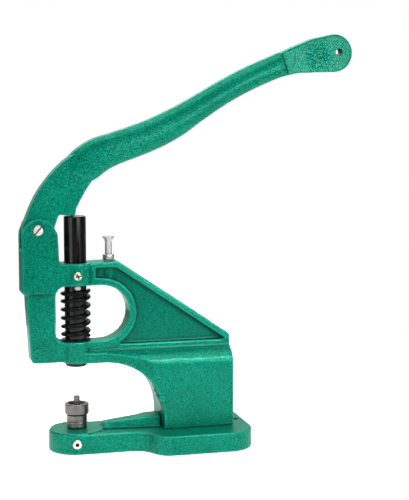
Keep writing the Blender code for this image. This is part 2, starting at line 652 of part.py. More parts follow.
def make_stop_screw(parts, tools):
    edge = 0.0005
    profile = [(0, STOP_HEAD_TOP), (STOP_HEAD_RADIUS - edge, STOP_HEAD_TOP),
               (STOP_HEAD_RADIUS, STOP_HEAD_TOP - edge), (STOP_HEAD_RADIUS, STOP_HEAD_TOP - 3 * edge),
               (M6_RADIUS, STOP_HEAD_BOTTOM), (M6_RADIUS, STOP_TIP + edge), (M6_RADIUS - edge, STOP_TIP),
               (0, STOP_TIP)]
    screw = turned("stop_screw", profile, parts, sides=SMALL_SIDES)
    screw.location.x = STOP_X
    slot = box("stop_slot", (STOP_X - 0.01, -0.0006, STOP_HEAD_TOP - 0.0015),
               (STOP_X + 0.01, 0.0006, STOP_HEAD_TOP + 0.001), tools)
    boolean(screw, tool(slot), "DIFFERENCE")
    finish_part(screw, "stop_screw", ZINC)
    low = FLANGE_KNEE[1] + GAP
    make_hex_nut("stop_lock_nut", low, (STOP_X, 0.0), parts, tools)


def make_hex_nut(name, low, centre, parts, tools, axis="Z"):
    nut = cylinder(name, M6_NUT_RADIUS, low, low + M6_NUT_HEIGHT, parts, centre=centre, sides=6, axis=axis)
    bore = cylinder(name + "_bore", M6_RADIUS + GAP, low - 0.01, low + M6_NUT_HEIGHT + 0.01, tools,
                    centre=centre, axis=axis)
    boolean(nut, tool(bore), "DIFFERENCE")
    return finish_part(nut, name, ZINC)


# ---------------------------------------------------------------- pivot
def make_pivot(parts, tools):
    head_out = HEAD_HALF_THICKNESS + 0.0009
    head_in = SLOT_HALF_WIDTH + GAP
    shoulder = HEAD_HALF_THICKNESS + GAP / 2
    end = HEAD_HALF_THICKNESS + 2 * GAP + WASHER_THICKNESS + M6_NUT_HEIGHT + 0.0010
    edge = 0.0005
    profile = [(0, head_out), (PIN_HEAD_RADIUS - edge, head_out), (PIN_HEAD_RADIUS, head_out - edge),
               (PIN_HEAD_RADIUS, head_in), (PIN_RADIUS, head_in), (PIN_RADIUS, -shoulder),
               (PIN_THREAD_RADIUS, -shoulder), (PIN_THREAD_RADIUS, -end + edge),
               (PIN_THREAD_RADIUS - edge, -end), (0, -end)]
    pin = turned("pivot_pin", profile, parts, sides=SMALL_SIDES)
    lay_along_y(pin, PIVOT, towards=-1)
    slot = box("pivot_slot", (-0.01, -0.0006, -0.0012), (0.01, 0.0006, 0.001), tools)
    face = Matrix.Translation((PIVOT.x, -head_out, PIVOT.z))
    diagonal = Matrix.Rotation(math.radians(-50), 4, "Y")
    slot.data.transform(face @ diagonal @ Matrix.Rotation(math.pi / 2, 4, "X"))
    boolean(pin, tool(slot), "DIFFERENCE")
    finish_part(pin, "pivot_pin", ZINC)

    washer_low = HEAD_HALF_THICKNESS + GAP
    washer_high = washer_low + WASHER_THICKNESS
    washer = make_ring("pivot_washer", PIN_RADIUS + GAP, PIVOT_WASHER_RADIUS, washer_low, washer_high,
                       parts)
    lay_along_y(washer, PIVOT)
    finish_part(washer, "pivot_washer", ZINC)
    make_hex_nut("pivot_nut", washer_high + GAP, (PIVOT.x, PIVOT.z), parts, tools, axis="Y")


# ---------------------------------------------------------------- lever
def make_lever(parts, tools):
    lever = prism("lever", root_outline(), ROOT_HALF_THICKNESS, parts)
    boolean(lever, make_grip(tools), "UNION")
    boolean(lever, tool(prism("paddle", paddle_outline(), PADDLE_HALF_THICKNESS, tools)), "UNION")
    bore = cylinder("lever_bore", BUSH_RADIUS + GAP, -0.02, 0.02, tools,
                    centre=(PIVOT.x, PIVOT.z), axis="Y")
    hole = cylinder("paddle_hole", PADDLE_HOLE_RADIUS, -0.02, 0.02, tools,
                    centre=PADDLE_HOLE, axis="Y")
    boolean(lever, tool(bore), "DIFFERENCE")
    boolean(lever, tool(hole), "DIFFERENCE")
    place_origin(lever, PIVOT)
    finish_part(lever, "lever", GREEN)

    half = ROOT_HALF_THICKNESS - 0.0002
    bush = make_ring("lever_bush", PIN_RADIUS + GAP, BUSH_RADIUS, -half, half, parts)
    lay_along_y(bush, (0.0, 0.0, 0.0))
    bush.location = PIVOT
    finish_part(bush, "lever_bush", BRONZE)


def root_outline():
    front = [tuple(point) for point in smooth_line(ROOT_FRONT, 3)]
    hub = arc((PIVOT.x, PIVOT.z), HUB_RADIUS, 141, 356, 16)[1:]
    finger = rounded([(*NOTCH[0], 0), (*NOTCH[1], 0.0006), (FINGER_TIP_X, FINGER_Z, 0.0012),
                      (*ROOT_REAR[0], 0)])
    rear = [tuple(point) for point in smooth_line(ROOT_REAR, 3)]
    return front + hub + finger + rear[1:]


def make_grip(tools):
    """A loft of oval sections along the grip's curved centre line."""
    stations = smooth_line(GRIP, 3)
    build = bmesh.new()
    rings = []
    for index, station in enumerate(stations):
        x, z, half_height, half_thickness, exponent = station
        ahead = stations[min(index + 1, len(stations) - 1)]
        behind = stations[max(index - 1, 0)]
        along = Vector((ahead[0] - behind[0], ahead[1] - behind[1])).normalized()
        ring = []
        for side in range(GRIP_SIDES):
            angle = math.tau * side / GRIP_SIDES
            up = half_height * squared(math.sin(angle), exponent)
            out = half_thickness * squared(math.cos(angle), exponent)
            ring.append(build.verts.new((x - along.y * up, out, z + along.x * up)))
        rings.append(ring)
    for ring, following in zip(rings, rings[1:]):
        for side in range(GRIP_SIDES):
            after = (side + 1) % GRIP_SIDES
            build.faces.new((ring[side], ring[after], following[after], following[side]))
    build.faces.new(rings[0])
    build.faces.new(rings[-1])
    bmesh.ops.recalc_face_normals(build, faces=build.faces)
    mesh = bpy.data.meshes.new("grip")
    build.to_mesh(mesh)
    build.free()
    return tool(add_mesh_object("grip", mesh, tools))


def squared(value, exponent):
    return math.copysign(abs(value) ** (2 / exponent), value)


def paddle_outline():
    start = [(0.1780, 0.3390), (0.1900, 0.3450), (0.2110, 0.3535)]
    end = [(0.2160, 0.3245), (0.1970, 0.3237), (0.1780, 0.3193)]
    return start + arc(PADDLE_CENTRE, PADDLE_RADIUS, 112, -88, 16) + end


# ---------------------------------------------------------------- ram, key and spring
def make_ram(parts, tools):
    edge = 0.0007
    profile = [(0, RAM_TOP), (RAM_RADIUS - edge, RAM_TOP), (RAM_RADIUS, RAM_TOP - edge),
               (RAM_RADIUS, RAM_BOTTOM + edge), (RAM_RADIUS - edge, RAM_BOTTOM),
               (RAM_SOCKET_RADIUS, RAM_BOTTOM), (RAM_SOCKET_RADIUS, RAM_BOTTOM + RAM_SOCKET_DEPTH),
               (0, RAM_BOTTOM + RAM_SOCKET_DEPTH + 0.002)]
    ram = turned("ram", profile, parts)
    low = GUIDE_SCREW_Z - 0.0045
    high = GUIDE_SCREW_Z + 0.0285
    end = KEYWAY_HALF_WIDTH - 0.0002
    keyway = rounded([(-KEYWAY_HALF_WIDTH, low, end), (KEYWAY_HALF_WIDTH, low, end),
                      (KEYWAY_HALF_WIDTH, high, end), (-KEYWAY_HALF_WIDTH, high, end)])
    depth = 0.0040
    cutter = prism("keyway", keyway, depth, tools)
    cutter.data.transform(Matrix.Translation((0, -RAM_RADIUS + KEYWAY_DEPTH - depth, 0)))
    boolean(ram, tool(cutter), "DIFFERENCE")
    boolean(ram, tool(cross_key("key_slot", GAP, 0.02, tools)), "DIFFERENCE")
    finish_part(ram, "ram", BLACK_STEEL)
    key = cross_key("spring_cross_key", 0.0, KEY_HALF_LENGTH, parts)
    finish_part(key, "spring_cross_key", ZINC)


def cross_key(name, clearance, half_length, group):
    """A flat bar with round edges that lies along Y."""
    across = KEY_HALF_WIDTH + clearance
    up = KEY_HALF_HEIGHT + clearance
    edge = up - 0.0001
    outline = rounded([(-across, KEY_Z - up, edge), (across, KEY_Z - up, edge),
                       (across, KEY_Z + up, edge), (-across, KEY_Z + up, edge)])
    return prism(name, outline, half_length, group)


def make_spring(parts):
    washer_low = WINDOW_BOTTOM + GAP
    washer = make_ring("spring_seat_washer", RAM_RADIUS + GAP, SEAT_WASHER_RADIUS, washer_low,
                       washer_low + WASHER_THICKNESS, parts, sides=ROUND_SIDES)
    finish_part(washer, "spring_seat_washer", BLACK_STEEL)

    bottom = washer_low + WASHER_THICKNESS + GAP + WIRE_RADIUS
    top = KEY_Z - KEY_HALF_HEIGHT - GAP - WIRE_RADIUS
    closed_rise = 2 * WIRE_RADIUS + GAP
    curve = bpy.data.curves.new("return_spring", "CURVE")
    curve.dimensions = "3D"
    curve.bevel_depth = WIRE_RADIUS
    curve.bevel_resolution = 2
    curve.use_fill_caps = True
    steps = round(SPRING_TURNS * SPRING_STEPS_PER_TURN)
    spline = curve.splines.new("POLY")
    spline.points.add(steps)
    open_turns = SPRING_TURNS - 2 * SPRING_CLOSED_TURNS
    open_rise = top - bottom - 2 * closed_rise
    for step in range(steps + 1):
        turn = SPRING_TURNS * step / steps
        first = min(turn, SPRING_CLOSED_TURNS) / SPRING_CLOSED_TURNS
        middle = min(max(turn - SPRING_CLOSED_TURNS, 0), open_turns) / open_turns
        last = max(turn - SPRING_CLOSED_TURNS - open_turns, 0) / SPRING_CLOSED_TURNS
        height = bottom + closed_rise * (first + last) + open_rise * middle
        angle = math.tau * turn
        place = (COIL_RADIUS * math.cos(angle), COIL_RADIUS * math.sin(angle), height, 1.0)
        spline.points[step].co = place
    spring = curve_to_mesh("return_spring", curve, Matrix.Identity(4), parts)
    finish_part(spring, "return_spring", BLACK_STEEL)


def main():
    clear_scene()
    parts = make_collection("snap_setting_press")
    tools = make_collection("cutters")
    make_base_plate(parts, tools)
    make_frame_bolts(parts, tools)
    make_lower_die(parts)
    make_die_set_screw(parts, tools)
    make_frame_casting(parts, tools)
    make_ram_guide_screw(parts, tools)
    make_stop_screw(parts, tools)
    make_pivot(parts, tools)
    make_lever(parts, tools)
    make_ram(parts, tools)
    make_spring(parts)


main()
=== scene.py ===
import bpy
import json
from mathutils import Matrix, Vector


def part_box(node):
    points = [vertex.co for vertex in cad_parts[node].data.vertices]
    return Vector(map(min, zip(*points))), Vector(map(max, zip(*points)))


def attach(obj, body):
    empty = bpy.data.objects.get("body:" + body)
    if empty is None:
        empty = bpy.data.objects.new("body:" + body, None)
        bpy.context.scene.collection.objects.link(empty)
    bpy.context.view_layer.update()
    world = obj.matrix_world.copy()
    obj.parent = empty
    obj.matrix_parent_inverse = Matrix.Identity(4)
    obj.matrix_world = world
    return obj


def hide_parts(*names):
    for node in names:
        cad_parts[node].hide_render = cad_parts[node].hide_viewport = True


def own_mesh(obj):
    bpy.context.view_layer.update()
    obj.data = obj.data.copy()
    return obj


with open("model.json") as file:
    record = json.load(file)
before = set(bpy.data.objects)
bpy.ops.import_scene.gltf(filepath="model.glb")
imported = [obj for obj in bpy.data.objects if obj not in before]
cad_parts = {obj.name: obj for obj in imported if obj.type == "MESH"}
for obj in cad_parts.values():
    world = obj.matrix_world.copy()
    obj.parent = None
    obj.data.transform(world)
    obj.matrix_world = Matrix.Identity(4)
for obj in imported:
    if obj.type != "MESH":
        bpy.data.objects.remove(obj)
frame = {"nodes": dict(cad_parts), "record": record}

"""Looks of the snap setting press.

The castings are worked from their CAD solids: the machined holes are plugged, the solid is remeshed
and smoothed so that its edges get cast fillets, its skin gets a fine hammered relief, and the holes
are cut again with crisp edges.  The steel pieces are turned, threaded and cut anew.
Frame: metres, +Z up along the ram, +X to the rear, -Y towards the camera.
"""

import json
import math

import bmesh
import bpy
import numpy as np
from mathutils import Matrix, Vector, noise

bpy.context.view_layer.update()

# ---------------------------------------------------------------- settings
CASTING_VOXEL = 0.00080          # grain of the remeshed frame and base
LEVER_VOXEL = 0.00065            # grain of the remeshed lever, which is thinner
GAP = 0.0003                     # clearance between the CAD pieces that touch
INSET = 0.0002                   # how far a plug stays inside the faces that its hole opens in
FIT = 0.00025                    # room round a pin or rod in its finished hole
CUT_REACH = 0.02                 # how far a cutter along Y reaches, past every face
SIDES = 96                       # sides of a turned piece
THREAD_STEPS = 8                 # rings in one turn of a thread
THREAD_PITCH = 0.0010
THREAD_DEPTH = 0.0005
HAMMER_DEPTH = 0.00005           # relief of the hammered paint
HAMMER_SIZE = 0.0026             # width of one hammered cell
FILLET_ROUNDS = 7                # rounds of smoothing that give a casting its fillets
EDGE_REACH = 10                  # rounds of averaging that find edges and corners
EDGE_BEND = 0.0009               # bend of the skin that counts as a full edge or corner
THROAT_CENTRE = (0.0250, 0.0285)     # X and Z of the throat's arc
THROAT_RADIUS = 0.0480
GRIP_RIM_CENTRE = (0.0088, 0.2390)   # X and Z of the rim where the grip starts
GRIP_RIM_RADIUS = 0.0112

# Camera, fitted to the view of the whole press
CAMERA_PLACE = Vector((-0.1988, -1.1699, 0.3186))
CAMERA_YAW = math.radians(15.0)
CAMERA_PITCH = math.radians(7.0)
CAMERA_LENS = 100.2              # millimetres, on a 36 mm sensor

FLOOR_RADIUS = 0.62
FLOOR_CENTRE = Vector((0.1, 0.0, -0.0002))
FLOOR_GLOW = 0.64                # keeps the floor as white as the backdrop

SKY_FRONT = 0.10                 # strength of the studio's walls, for light but not for the camera
SKY_BEHIND = 0.90
SKY_ABOVE = 0.45
SKY_BELOW = 0.15                 # share of it that is left below the horizon

# Colours (linear)
GREEN_DARK = (0.0008, 0.120, 0.074)
GREEN_MID = (0.0022, 0.300, 0.188)
GREEN_LIGHT = (0.0080, 0.390, 0.255)
# paler edges: thin paint, and a painted highlight
GREEN_THIN_PAINT_AND_HIGHLIGHT = (0.0300, 0.520, 0.380)
# painted shade: the dark green used in creases, corners and on the recessed web
GREEN_PAINTED_SHADE = (0.0006, 0.055, 0.036)
PANEL_SHADE = 0.42               # how much painted shade darkens the recessed web
# painted shade at the bottom of screw recesses and slots
RECESS_SHADE_COLOUR = (0.012, 0.012, 0.010)


# ---------------------------------------------------------------- mesh helpers
def add_object(name, data):
    item = bpy.data.objects.new(name, data)
    bpy.context.scene.collection.objects.link(item)
    return item


def from_bmesh(name, build):
    bmesh.ops.recalc_face_normals(build, faces=build.faces)
    mesh = bpy.data.meshes.new(name)
    build.to_mesh(mesh)
    build.free()
    return add_object(name, mesh)


def apply_modifiers(item):
    """Replaces an object's mesh with the one that its modifiers make."""
    bpy.context.view_layer.update()
    evaluated = item.evaluated_get(bpy.context.evaluated_depsgraph_get())
    mesh = bpy.data.meshes.new_from_object(evaluated)
    item.modifiers.clear()
    item.data = mesh
    return item


def combine(item, others, operation="DIFFERENCE", solver="MANIFOLD"):
    """Cuts item with each of the others, or joins them to it, and removes them."""
    for other in others:
        modifier = item.modifiers.new(other.name, "BOOLEAN")
        modifier.operation = operation
        modifier.solver = solver
        modifier.object = other
    apply_modifiers(item)
    for other in others:
        bpy.data.objects.remove(other, do_unlink=True)
    return item


def shade(item, angle_deg=40):
    """Smooth shading, except across edges that bend by more than the angle."""
    item.data.shade_smooth()
    item.data.set_sharp_from_angle(angle=math.radians(angle_deg))
    return item


def size_of(node):
    """Centre, lowest and highest corner of a CAD node."""
    low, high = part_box(node)
    return (low + high) / 2, low, high


def opening_centre(name):
    """X and Z of the middle of an opening that the record states."""
    openings = frame["record"]["physics"]["openings"]
    low, high = next(opening["box_m"] for opening in openings if opening["name"] == name)
    return (low[0] + high[0]) / 2, (low[2] + high[2]) / 2


def dress(item, material, body, node):
    """Gives a finished piece its material and its body, and lets it stand for a CAD node."""
    item.data.materials.clear()
    item.data.materials.append(material)
    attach(item, body)
    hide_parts(node)


def shade_recess(item, inside):
    """Marks the faces whose centre is inside a recess, which get painted shade."""
    attribute = item.data.attributes.new("recess_shade", "FLOAT", "FACE")
    for face in item.data.polygons:
        attribute.data[face.index].value = 1.0 if inside(face.center) else 0.0


def round_corners(points, radius, steps=4):
    """Rounds the inner corners of an open line of (radius, height) points."""
    line = [tuple(points[0])]
    for before, corner, after in zip(points, points[1:], points[2:]):
        corner = Vector(corner)
        to_before = Vector(before) - corner
        to_after = Vector(after) - corner
        start = corner + to_before.normalized() * min(radius, 0.45 * to_before.length)
        end = corner + to_after.normalized() * min(radius, 0.45 * to_after.length)
        for step in range(steps + 1):
            t = step / steps
            point = (1 - t) ** 2 * start + 2 * t * (1 - t) * corner + t * t * end
            line.append((point.x, point.y))
    line.append(tuple(points[-1]))
    return line


def with_thread(profile, low, high):
    """Adds the rings of a thread to the straight run of a profile between two heights."""
    line = []
    for (r0, z0), (r1, z1) in zip(profile, profile[1:]):
        line.append((r0, z0))
        if max(z0, z1) >= high - 1e-6 and min(z0, z1) <= low + 1e-6:
            count = math.ceil((high - low) / THREAD_PITCH * THREAD_STEPS)
            heights = [low + (high - low) * step / count for step in range(count + 1)]
            if z0 > z1:
                heights.reverse()
            line += [(r0 + (r1 - r0) * (z - z0) / (z1 - z0), z) for z in heights]
    line.append(profile[-1])
    return line


def turned(name, profile, sides=SIDES, thread=None, depth=THREAD_DEPTH):
    """Turns a (radius, height) profile round Z.  thread is the lowest and highest part of its thread."""
    if thread:
        profile = with_thread(profile, *thread)
    build = bmesh.new()
    rings = []
    for radius, height in profile:
        if radius < 1e-7:
            rings.append([build.verts.new((0.0, 0.0, height))])
            continue
        ring = []
        for side in range(sides):
            angle = math.tau * side / sides
            at = radius - (groove(height, side / sides, *thread, depth) if thread else 0.0)
            ring.append(build.verts.new((at * math.cos(angle), at * math.sin(angle), height)))
        rings.append(ring)
    for ring, following in zip(rings, rings[1:]):
        for side in range(sides):
            after = (side + 1) % sides
            if len(ring) == 1:
                corners = (ring[0], following[after], following[side])
            elif len(following) == 1:
                corners = (ring[side], ring[after], following[0])
            else:
                corners = (ring[side], ring[after], following[after], following[side])
            build.faces.new(corners)
    return from_bmesh(name, build)


def groove(height, turn, low, high, depth):
    """How deep a thread's groove is at one height and one part of a turn; it runs out at both ends."""
    inside = min(height - low, high - height) / (0.7 * THREAD_PITCH)
    if inside <= 0:
        return 0.0
    phase = (height / THREAD_PITCH - turn) % 1.0
    return depth * min(1.0, inside) * (1.0 - abs(2.0 * phase - 1.0)) ** 0.8


def cylinder(name, radius, low, high, centre=(0.0, 0.0), axis="Z", sides=SIDES, flare=0.0):
    """A bar along Z, with its centre in X and Y, or along Y, in X and Z; flare widens both its ends."""
    if flare:
        profile = [(0, high), (radius + flare, high), (radius, high - flare), (radius, low + flare),
                   (radius + flare, low), (0, low)]
    else:
        profile = [(0, high), (radius, high), (radius, low), (0, low)]
    item = turned(name, profile, sides=sides)
    if axis == "Z":
        item.data.transform(Matrix.Translation((centre[0], centre[1], 0)))
    else:
        item.data.transform(Matrix.Translation((centre[0], 0, centre[1]))
                            @ Matrix.Rotation(-math.pi / 2, 4, "X"))
    return item


def block(name, low, high, turn=None):
    """A box between two corners, turned round its own middle if asked."""
    build = bmesh.new()
    bmesh.ops.create_cube(build, size=1.0)
    size = Vector(high) - Vector(low)
    middle = (Vector(high) + Vector(low)) / 2
    build.transform(Matrix.Diagonal((*size, 1.0)))
    if turn:
        build.transform(turn)
    build.transform(Matrix.Translation(middle))
    return from_bmesh(name, build)


def point_to_front(item, place):
    """Turns a piece made round Z so that its top points along -Y, and moves it to a place."""
    turn = Matrix.Rotation(math.pi / 2, 4, "X")
    item.data.transform(Matrix.Translation(Vector(place)) @ turn)


# ---------------------------------------------------------------- cast skins
def as_rows(collection, attribute, width=3, kind=float):
    """One attribute of a mesh's vertices or edges, with a row for each."""
    values = np.empty(len(collection) * width, kind)
    collection.foreach_get(attribute, values)
    return values.reshape(-1, width)


def store_on_points(mesh, name, values):
    attribute = mesh.attributes.new(name, "FLOAT", "POINT")
    attribute.data.foreach_set("value", values.astype(np.float32))


def neighbour_mean(values, pairs):
    """Mean of each vertex's neighbours."""
    total = np.zeros_like(values)
    count = np.zeros(len(values))
    for one, other in ((0, 1), (1, 0)):
        np.add.at(total, pairs[:, one], values[pairs[:, other]])
        np.add.at(count, pairs[:, one], 1.0)
    return total / np.maximum(count, 1.0).reshape((-1,) + (1,) * (values.ndim - 1))


def blur(values, pairs, rounds):
    for _ in range(rounds):
        values = neighbour_mean(values, pairs)
    return values


def mark_edges(item, painted_shade_panel=None):
    """Stores how convex (above 0.5) or concave (below 0.5) the skin is, and its recessed panels, which get
    painted shade.
    """
    mesh = item.data
    places = as_rows(mesh.vertices, "co")
    normals = as_rows(mesh.vertex_normals, "vector")
    pairs = as_rows(mesh.edges, "vertices", 2, int)
    bend = np.einsum("ij,ij->i", places - blur(places, pairs, EDGE_REACH), normals)
    store_on_points(mesh, "edge", np.clip(0.5 + blur(bend, pairs, 2) / EDGE_BEND, 0.0, 1.0))
    if painted_shade_panel:
        facing_side = np.abs(normals[:, 1]) > 0.7
        inside = (painted_shade_panel(places) & facing_side).astype(float)
        store_on_points(mesh, "painted_shade_panel", blur(inside, pairs, 6))


def hammer(item, rough_area=None):
    """Moves the skin along its normals by a fine hammered relief, and by rough_area's own relief."""
    mesh = item.data
    places = as_rows(mesh.vertices, "co")
    normals = as_rows(mesh.vertex_normals, "vector")
    moved = places.copy()
    for index, place in enumerate(places):
        at = Vector(place)
        height = HAMMER_DEPTH * noise.noise(at / HAMMER_SIZE)
        height += 0.8 * HAMMER_DEPTH * noise.noise(at / (3 * HAMMER_SIZE))
        if rough_area:
            height += rough_area(at)
        moved[index] += normals[index] * height
    mesh.vertices.foreach_set("co", moved.ravel())
    mesh.update()


def smooth(item, rounds, area=None):
    """Smooths a skin, or the part of it whose points area picks."""
    modifier = item.modifiers.new("fillets", "SMOOTH")
    modifier.factor = 0.5
    modifier.iterations = rounds
    if area:
        group = item.vertex_groups.new(name="area")
        chosen = np.nonzero(area(as_rows(item.data.vertices, "co")))[0]
        group.add([int(index) for index in chosen], 1.0, "REPLACE")
        modifier.vertex_group = group.name
    apply_modifiers(item)
    item.vertex_groups.clear()


def cast_skin(name, node, voxel, plugs, cutters, rounds=FILLET_ROUNDS, rough_area=None, painted_shade_panel=None,
              soft_area=None):
    """A casting with filleted edges, hammered skin and crisp machined holes."""
    build = bmesh.new()
    build.from_mesh(frame["nodes"][node].data)
    bmesh.ops.remove_doubles(build, verts=build.verts, dist=1e-6)
    for plug in plugs:
        build.from_mesh(plug.data)
        bpy.data.objects.remove(plug, do_unlink=True)
    mesh = bpy.data.meshes.new(name)
    build.to_mesh(mesh)
    build.free()
    item = add_object(name, mesh)
    remesh = item.modifiers.new("skin", "REMESH")
    remesh.mode = "VOXEL"
    remesh.voxel_size = voxel
    smooth(item, rounds)
    if soft_area:
        smooth(item, 2 * FILLET_ROUNDS, soft_area)
    mark_edges(item, painted_shade_panel)
    hammer(item, rough_area)
    combine(item, cutters)
    return shade(item, 50)


# ---------------------------------------------------------------- materials
class Shader:
    """A node material with short calls for the nodes used here."""

    def __init__(self, name):
        self.material = bpy.data.materials.new(name)
        self.material.use_nodes = True
        self.tree = self.material.node_tree
        self.out = self.tree.nodes["Principled BSDF"]
        self.coords = self.tree.nodes.new("ShaderNodeTexCoord").outputs["Object"]

    def set(self, **values):
        for key, value in values.items():
            self.out.inputs[key.replace("_", " ")].default_value = value

    def link(self, output, name):
        self.tree.links.new(output, self.out.inputs[name])

    def node(self, kind, inputs=(), **settings):
        made = self.tree.nodes.new(kind)
        for key, value in settings.items():
            setattr(made, key, value)
        for key, value in inputs:
            if isinstance(value, bpy.types.NodeSocket):
                self.tree.links.new(value, made.inputs[key])
            else:
                made.inputs[key].default_value = value
        return made

    def scaled(self, scale, shift=(0, 0, 0)):
        made = self.node("ShaderNodeMapping", [("Vector", self.coords), ("Scale", scale),
                                               ("Location", shift)])
        return made.outputs["Vector"]

    def noise(self, scale, detail=3.0, vector=None, roughness=0.5):
        made = self.node("ShaderNodeTexNoise", [("Vector", vector or self.coords), ("Scale", scale),
                                                ("Detail", detail), ("Roughness", roughness)])
        return made.outputs["Fac"]

    def cells(self, scale, vector):
        made = self.node("ShaderNodeTexVoronoi", [("Vector", vector), ("Scale", scale)])
        return made.outputs["Distance"]

    def ramp(self, factor, *stops):
        made = self.node("ShaderNodeValToRGB", [("Fac", factor)])
        elements = made.color_ramp.elements
        while len(elements) < len(stops):
            elements.new(0.5)
        for element, (place, colour) in zip(elements, stops):
            element.position = place
            if not isinstance(colour, tuple):
                colour = (colour,) * 3
            element.color = (*colour, 1.0)
        return made.outputs["Color"]

    def mix(self, factor, one, other):
        made = self.node("ShaderNodeMix", data_type="RGBA")
        for socket, value in ((made.inputs[0], factor), (made.inputs[6], one), (made.inputs[7], other)):
            if isinstance(value, bpy.types.NodeSocket):
                self.tree.links.new(value, socket)
            elif isinstance(value, tuple):
                socket.default_value = (*value, 1.0)
            else:
                socket.default_value = value
        return made.outputs[2]

    def math(self, operation, one, other):
        return self.node("ShaderNodeMath", [(0, one), (1, other)], operation=operation).outputs[0]

    def blend(self, one, share, other, other_share):
        """A weighted sum of two patterns."""
        return self.math("ADD", self.math("MULTIPLY", one, share),
                         self.math("MULTIPLY", other, other_share))

    def attribute(self, name):
        return self.node("ShaderNodeAttribute", attribute_name=name).outputs["Fac"]

    def bump(self, height, distance, strength):
        made = self.node("ShaderNodeBump", [("Height", height), ("Distance", distance),
                                            ("Strength", strength)])
        return made.outputs["Normal"]


def hammertone(name, shift=0.0, tone=1.0):
    """Glossy green hammered enamel: mottled cells, dark specks, pale painted glints, edges paler for thin
    paint and a painted highlight, and painted shade in creases and on the recessed web.
    """
    s = Shader(name)
    dark, mid, light = (tuple(tone * part for part in colour)
                        for colour in (GREEN_DARK, GREEN_MID, GREEN_LIGHT))
    place = s.scaled((1, 1, 1), (shift, shift, 0))
    warp = s.node("ShaderNodeTexNoise", [("Vector", place), ("Scale", 260.0), ("Detail", 2.0)])
    wobble = s.node("ShaderNodeVectorMath", [(0, warp.outputs["Color"]), (1, (0.0022,) * 3)],
                    operation="MULTIPLY").outputs[0]
    warped = s.node("ShaderNodeVectorMath", [(0, place), (1, wobble)], operation="ADD").outputs[0]
    cells = s.cells(640.0, warped)
    fine = s.noise(900.0, 3.0, place, 0.6)
    broad = s.noise(45.0, 3.0, place)
    mottled = s.ramp(s.blend(cells, 0.5, fine, 0.6), (0.30, light), (0.45, mid), (0.58, mid), (0.78, dark))
    specks = s.ramp(s.noise(1150.0, 2.5, place, 0.6), (0.46, 0.0), (0.64, 0.86))
    speckled = s.mix(specks, mottled, dark)
    toned = s.mix(s.ramp(broad, (0.40, 0.0), (0.72, 0.40)), speckled, dark)
    # painted glints: pale spots that stand in for the sparkle of highlights
    glints = s.ramp(s.noise(950.0, 2.5, s.scaled((1, 1, 1), (shift + 0.5, shift, 0.2)), 0.55),
                    (0.52, 0.0), (0.69, 0.70))
    toned = s.mix(glints, toned, tuple(1.35 * part for part in light))
    # painted shade on the recessed web
    toned = s.mix(s.math("MULTIPLY", s.attribute("painted_shade_panel"), PANEL_SHADE), toned, GREEN_PAINTED_SHADE)
    edge = s.attribute("edge")
    # edges paler for thin paint, and a painted highlight along them
    lit = s.mix(s.ramp(edge, (0.70, 0.0), (0.95, 0.14)), toned, GREEN_THIN_PAINT_AND_HIGHLIGHT)
    # painted shade in concave creases and corners
    deep = s.mix(s.ramp(edge, (0.12, 0.90), (0.44, 0.0)), lit, GREEN_PAINTED_SHADE)
    s.link(deep, "Base Color")
    s.link(s.ramp(fine, (0.3, 0.38), (0.7, 0.50)), "Roughness")
    relief = s.math("ADD", cells, s.math("MULTIPLY", fine, 0.5))
    s.link(s.bump(relief, 0.00011, 0.7), "Normal")
    s.link(s.bump(s.math("ADD", cells, s.math("MULTIPLY", broad, 0.5)), 0.00008, 0.7), "Coat Normal")
    s.set(Metallic=0.45, Coat_Weight=0.22, Coat_Roughness=0.14, Coat_IOR=1.28, Specular_IOR_Level=0.10,
          Specular_Tint=(0.22, 0.60, 0.48, 1.0))
    return s.material


def black_oxide(name, streaks=(1, 1, 0.04), scale=2600.0, gloss=0.32):
    """Blued steel: nearly black, with faint lengthwise drawing marks."""
    s = Shader(name)
    lines = s.noise(scale, 3.0, s.scaled(streaks), 0.6)
    blotch = s.noise(120.0, 4.0)
    s.link(s.mix(s.ramp(blotch, (0.35, 0.0), (0.75, 1.0)), (0.0026, 0.0028, 0.0030),
                 (0.0058, 0.0055, 0.0054)), "Base Color")
    s.link(s.ramp(s.blend(lines, 0.6, blotch, 0.4), (0.3, 0.16), (0.7, 0.28)), "Roughness")
    s.link(s.bump(lines, 0.00001, 0.6), "Normal")
    s.set(Metallic=0.0, Specular_IOR_Level=gloss, IOR=1.5)
    return s.material


def turned_steel(name, colour_low, colour_high, roughness=(0.18, 0.38), marks=(0.05, 0.05, 1),
                 scale=4200.0, bump=0.000012):
    """Bright steel with fine tool marks that run round the piece or across a face."""
    s = Shader(name)
    lines = s.noise(scale, 3.0, s.scaled(marks), 0.65)
    blotch = s.noise(260.0, 4.0)
    clean = s.mix(s.ramp(s.blend(lines, 0.5, blotch, 0.5), (0.30, 0.0), (0.70, 1.0)),
                  colour_low, colour_high)
    # painted shade in the recesses that shade_recess marks
    s.link(s.mix(s.math("MULTIPLY", s.attribute("recess_shade"), 0.9), clean, RECESS_SHADE_COLOUR), "Base Color")
    s.link(s.ramp(lines, (0.3, roughness[0]), (0.7, roughness[1])), "Roughness")
    s.link(s.bump(lines, bump, 0.7), "Normal")
    s.set(Metallic=1.0)
    return s.material


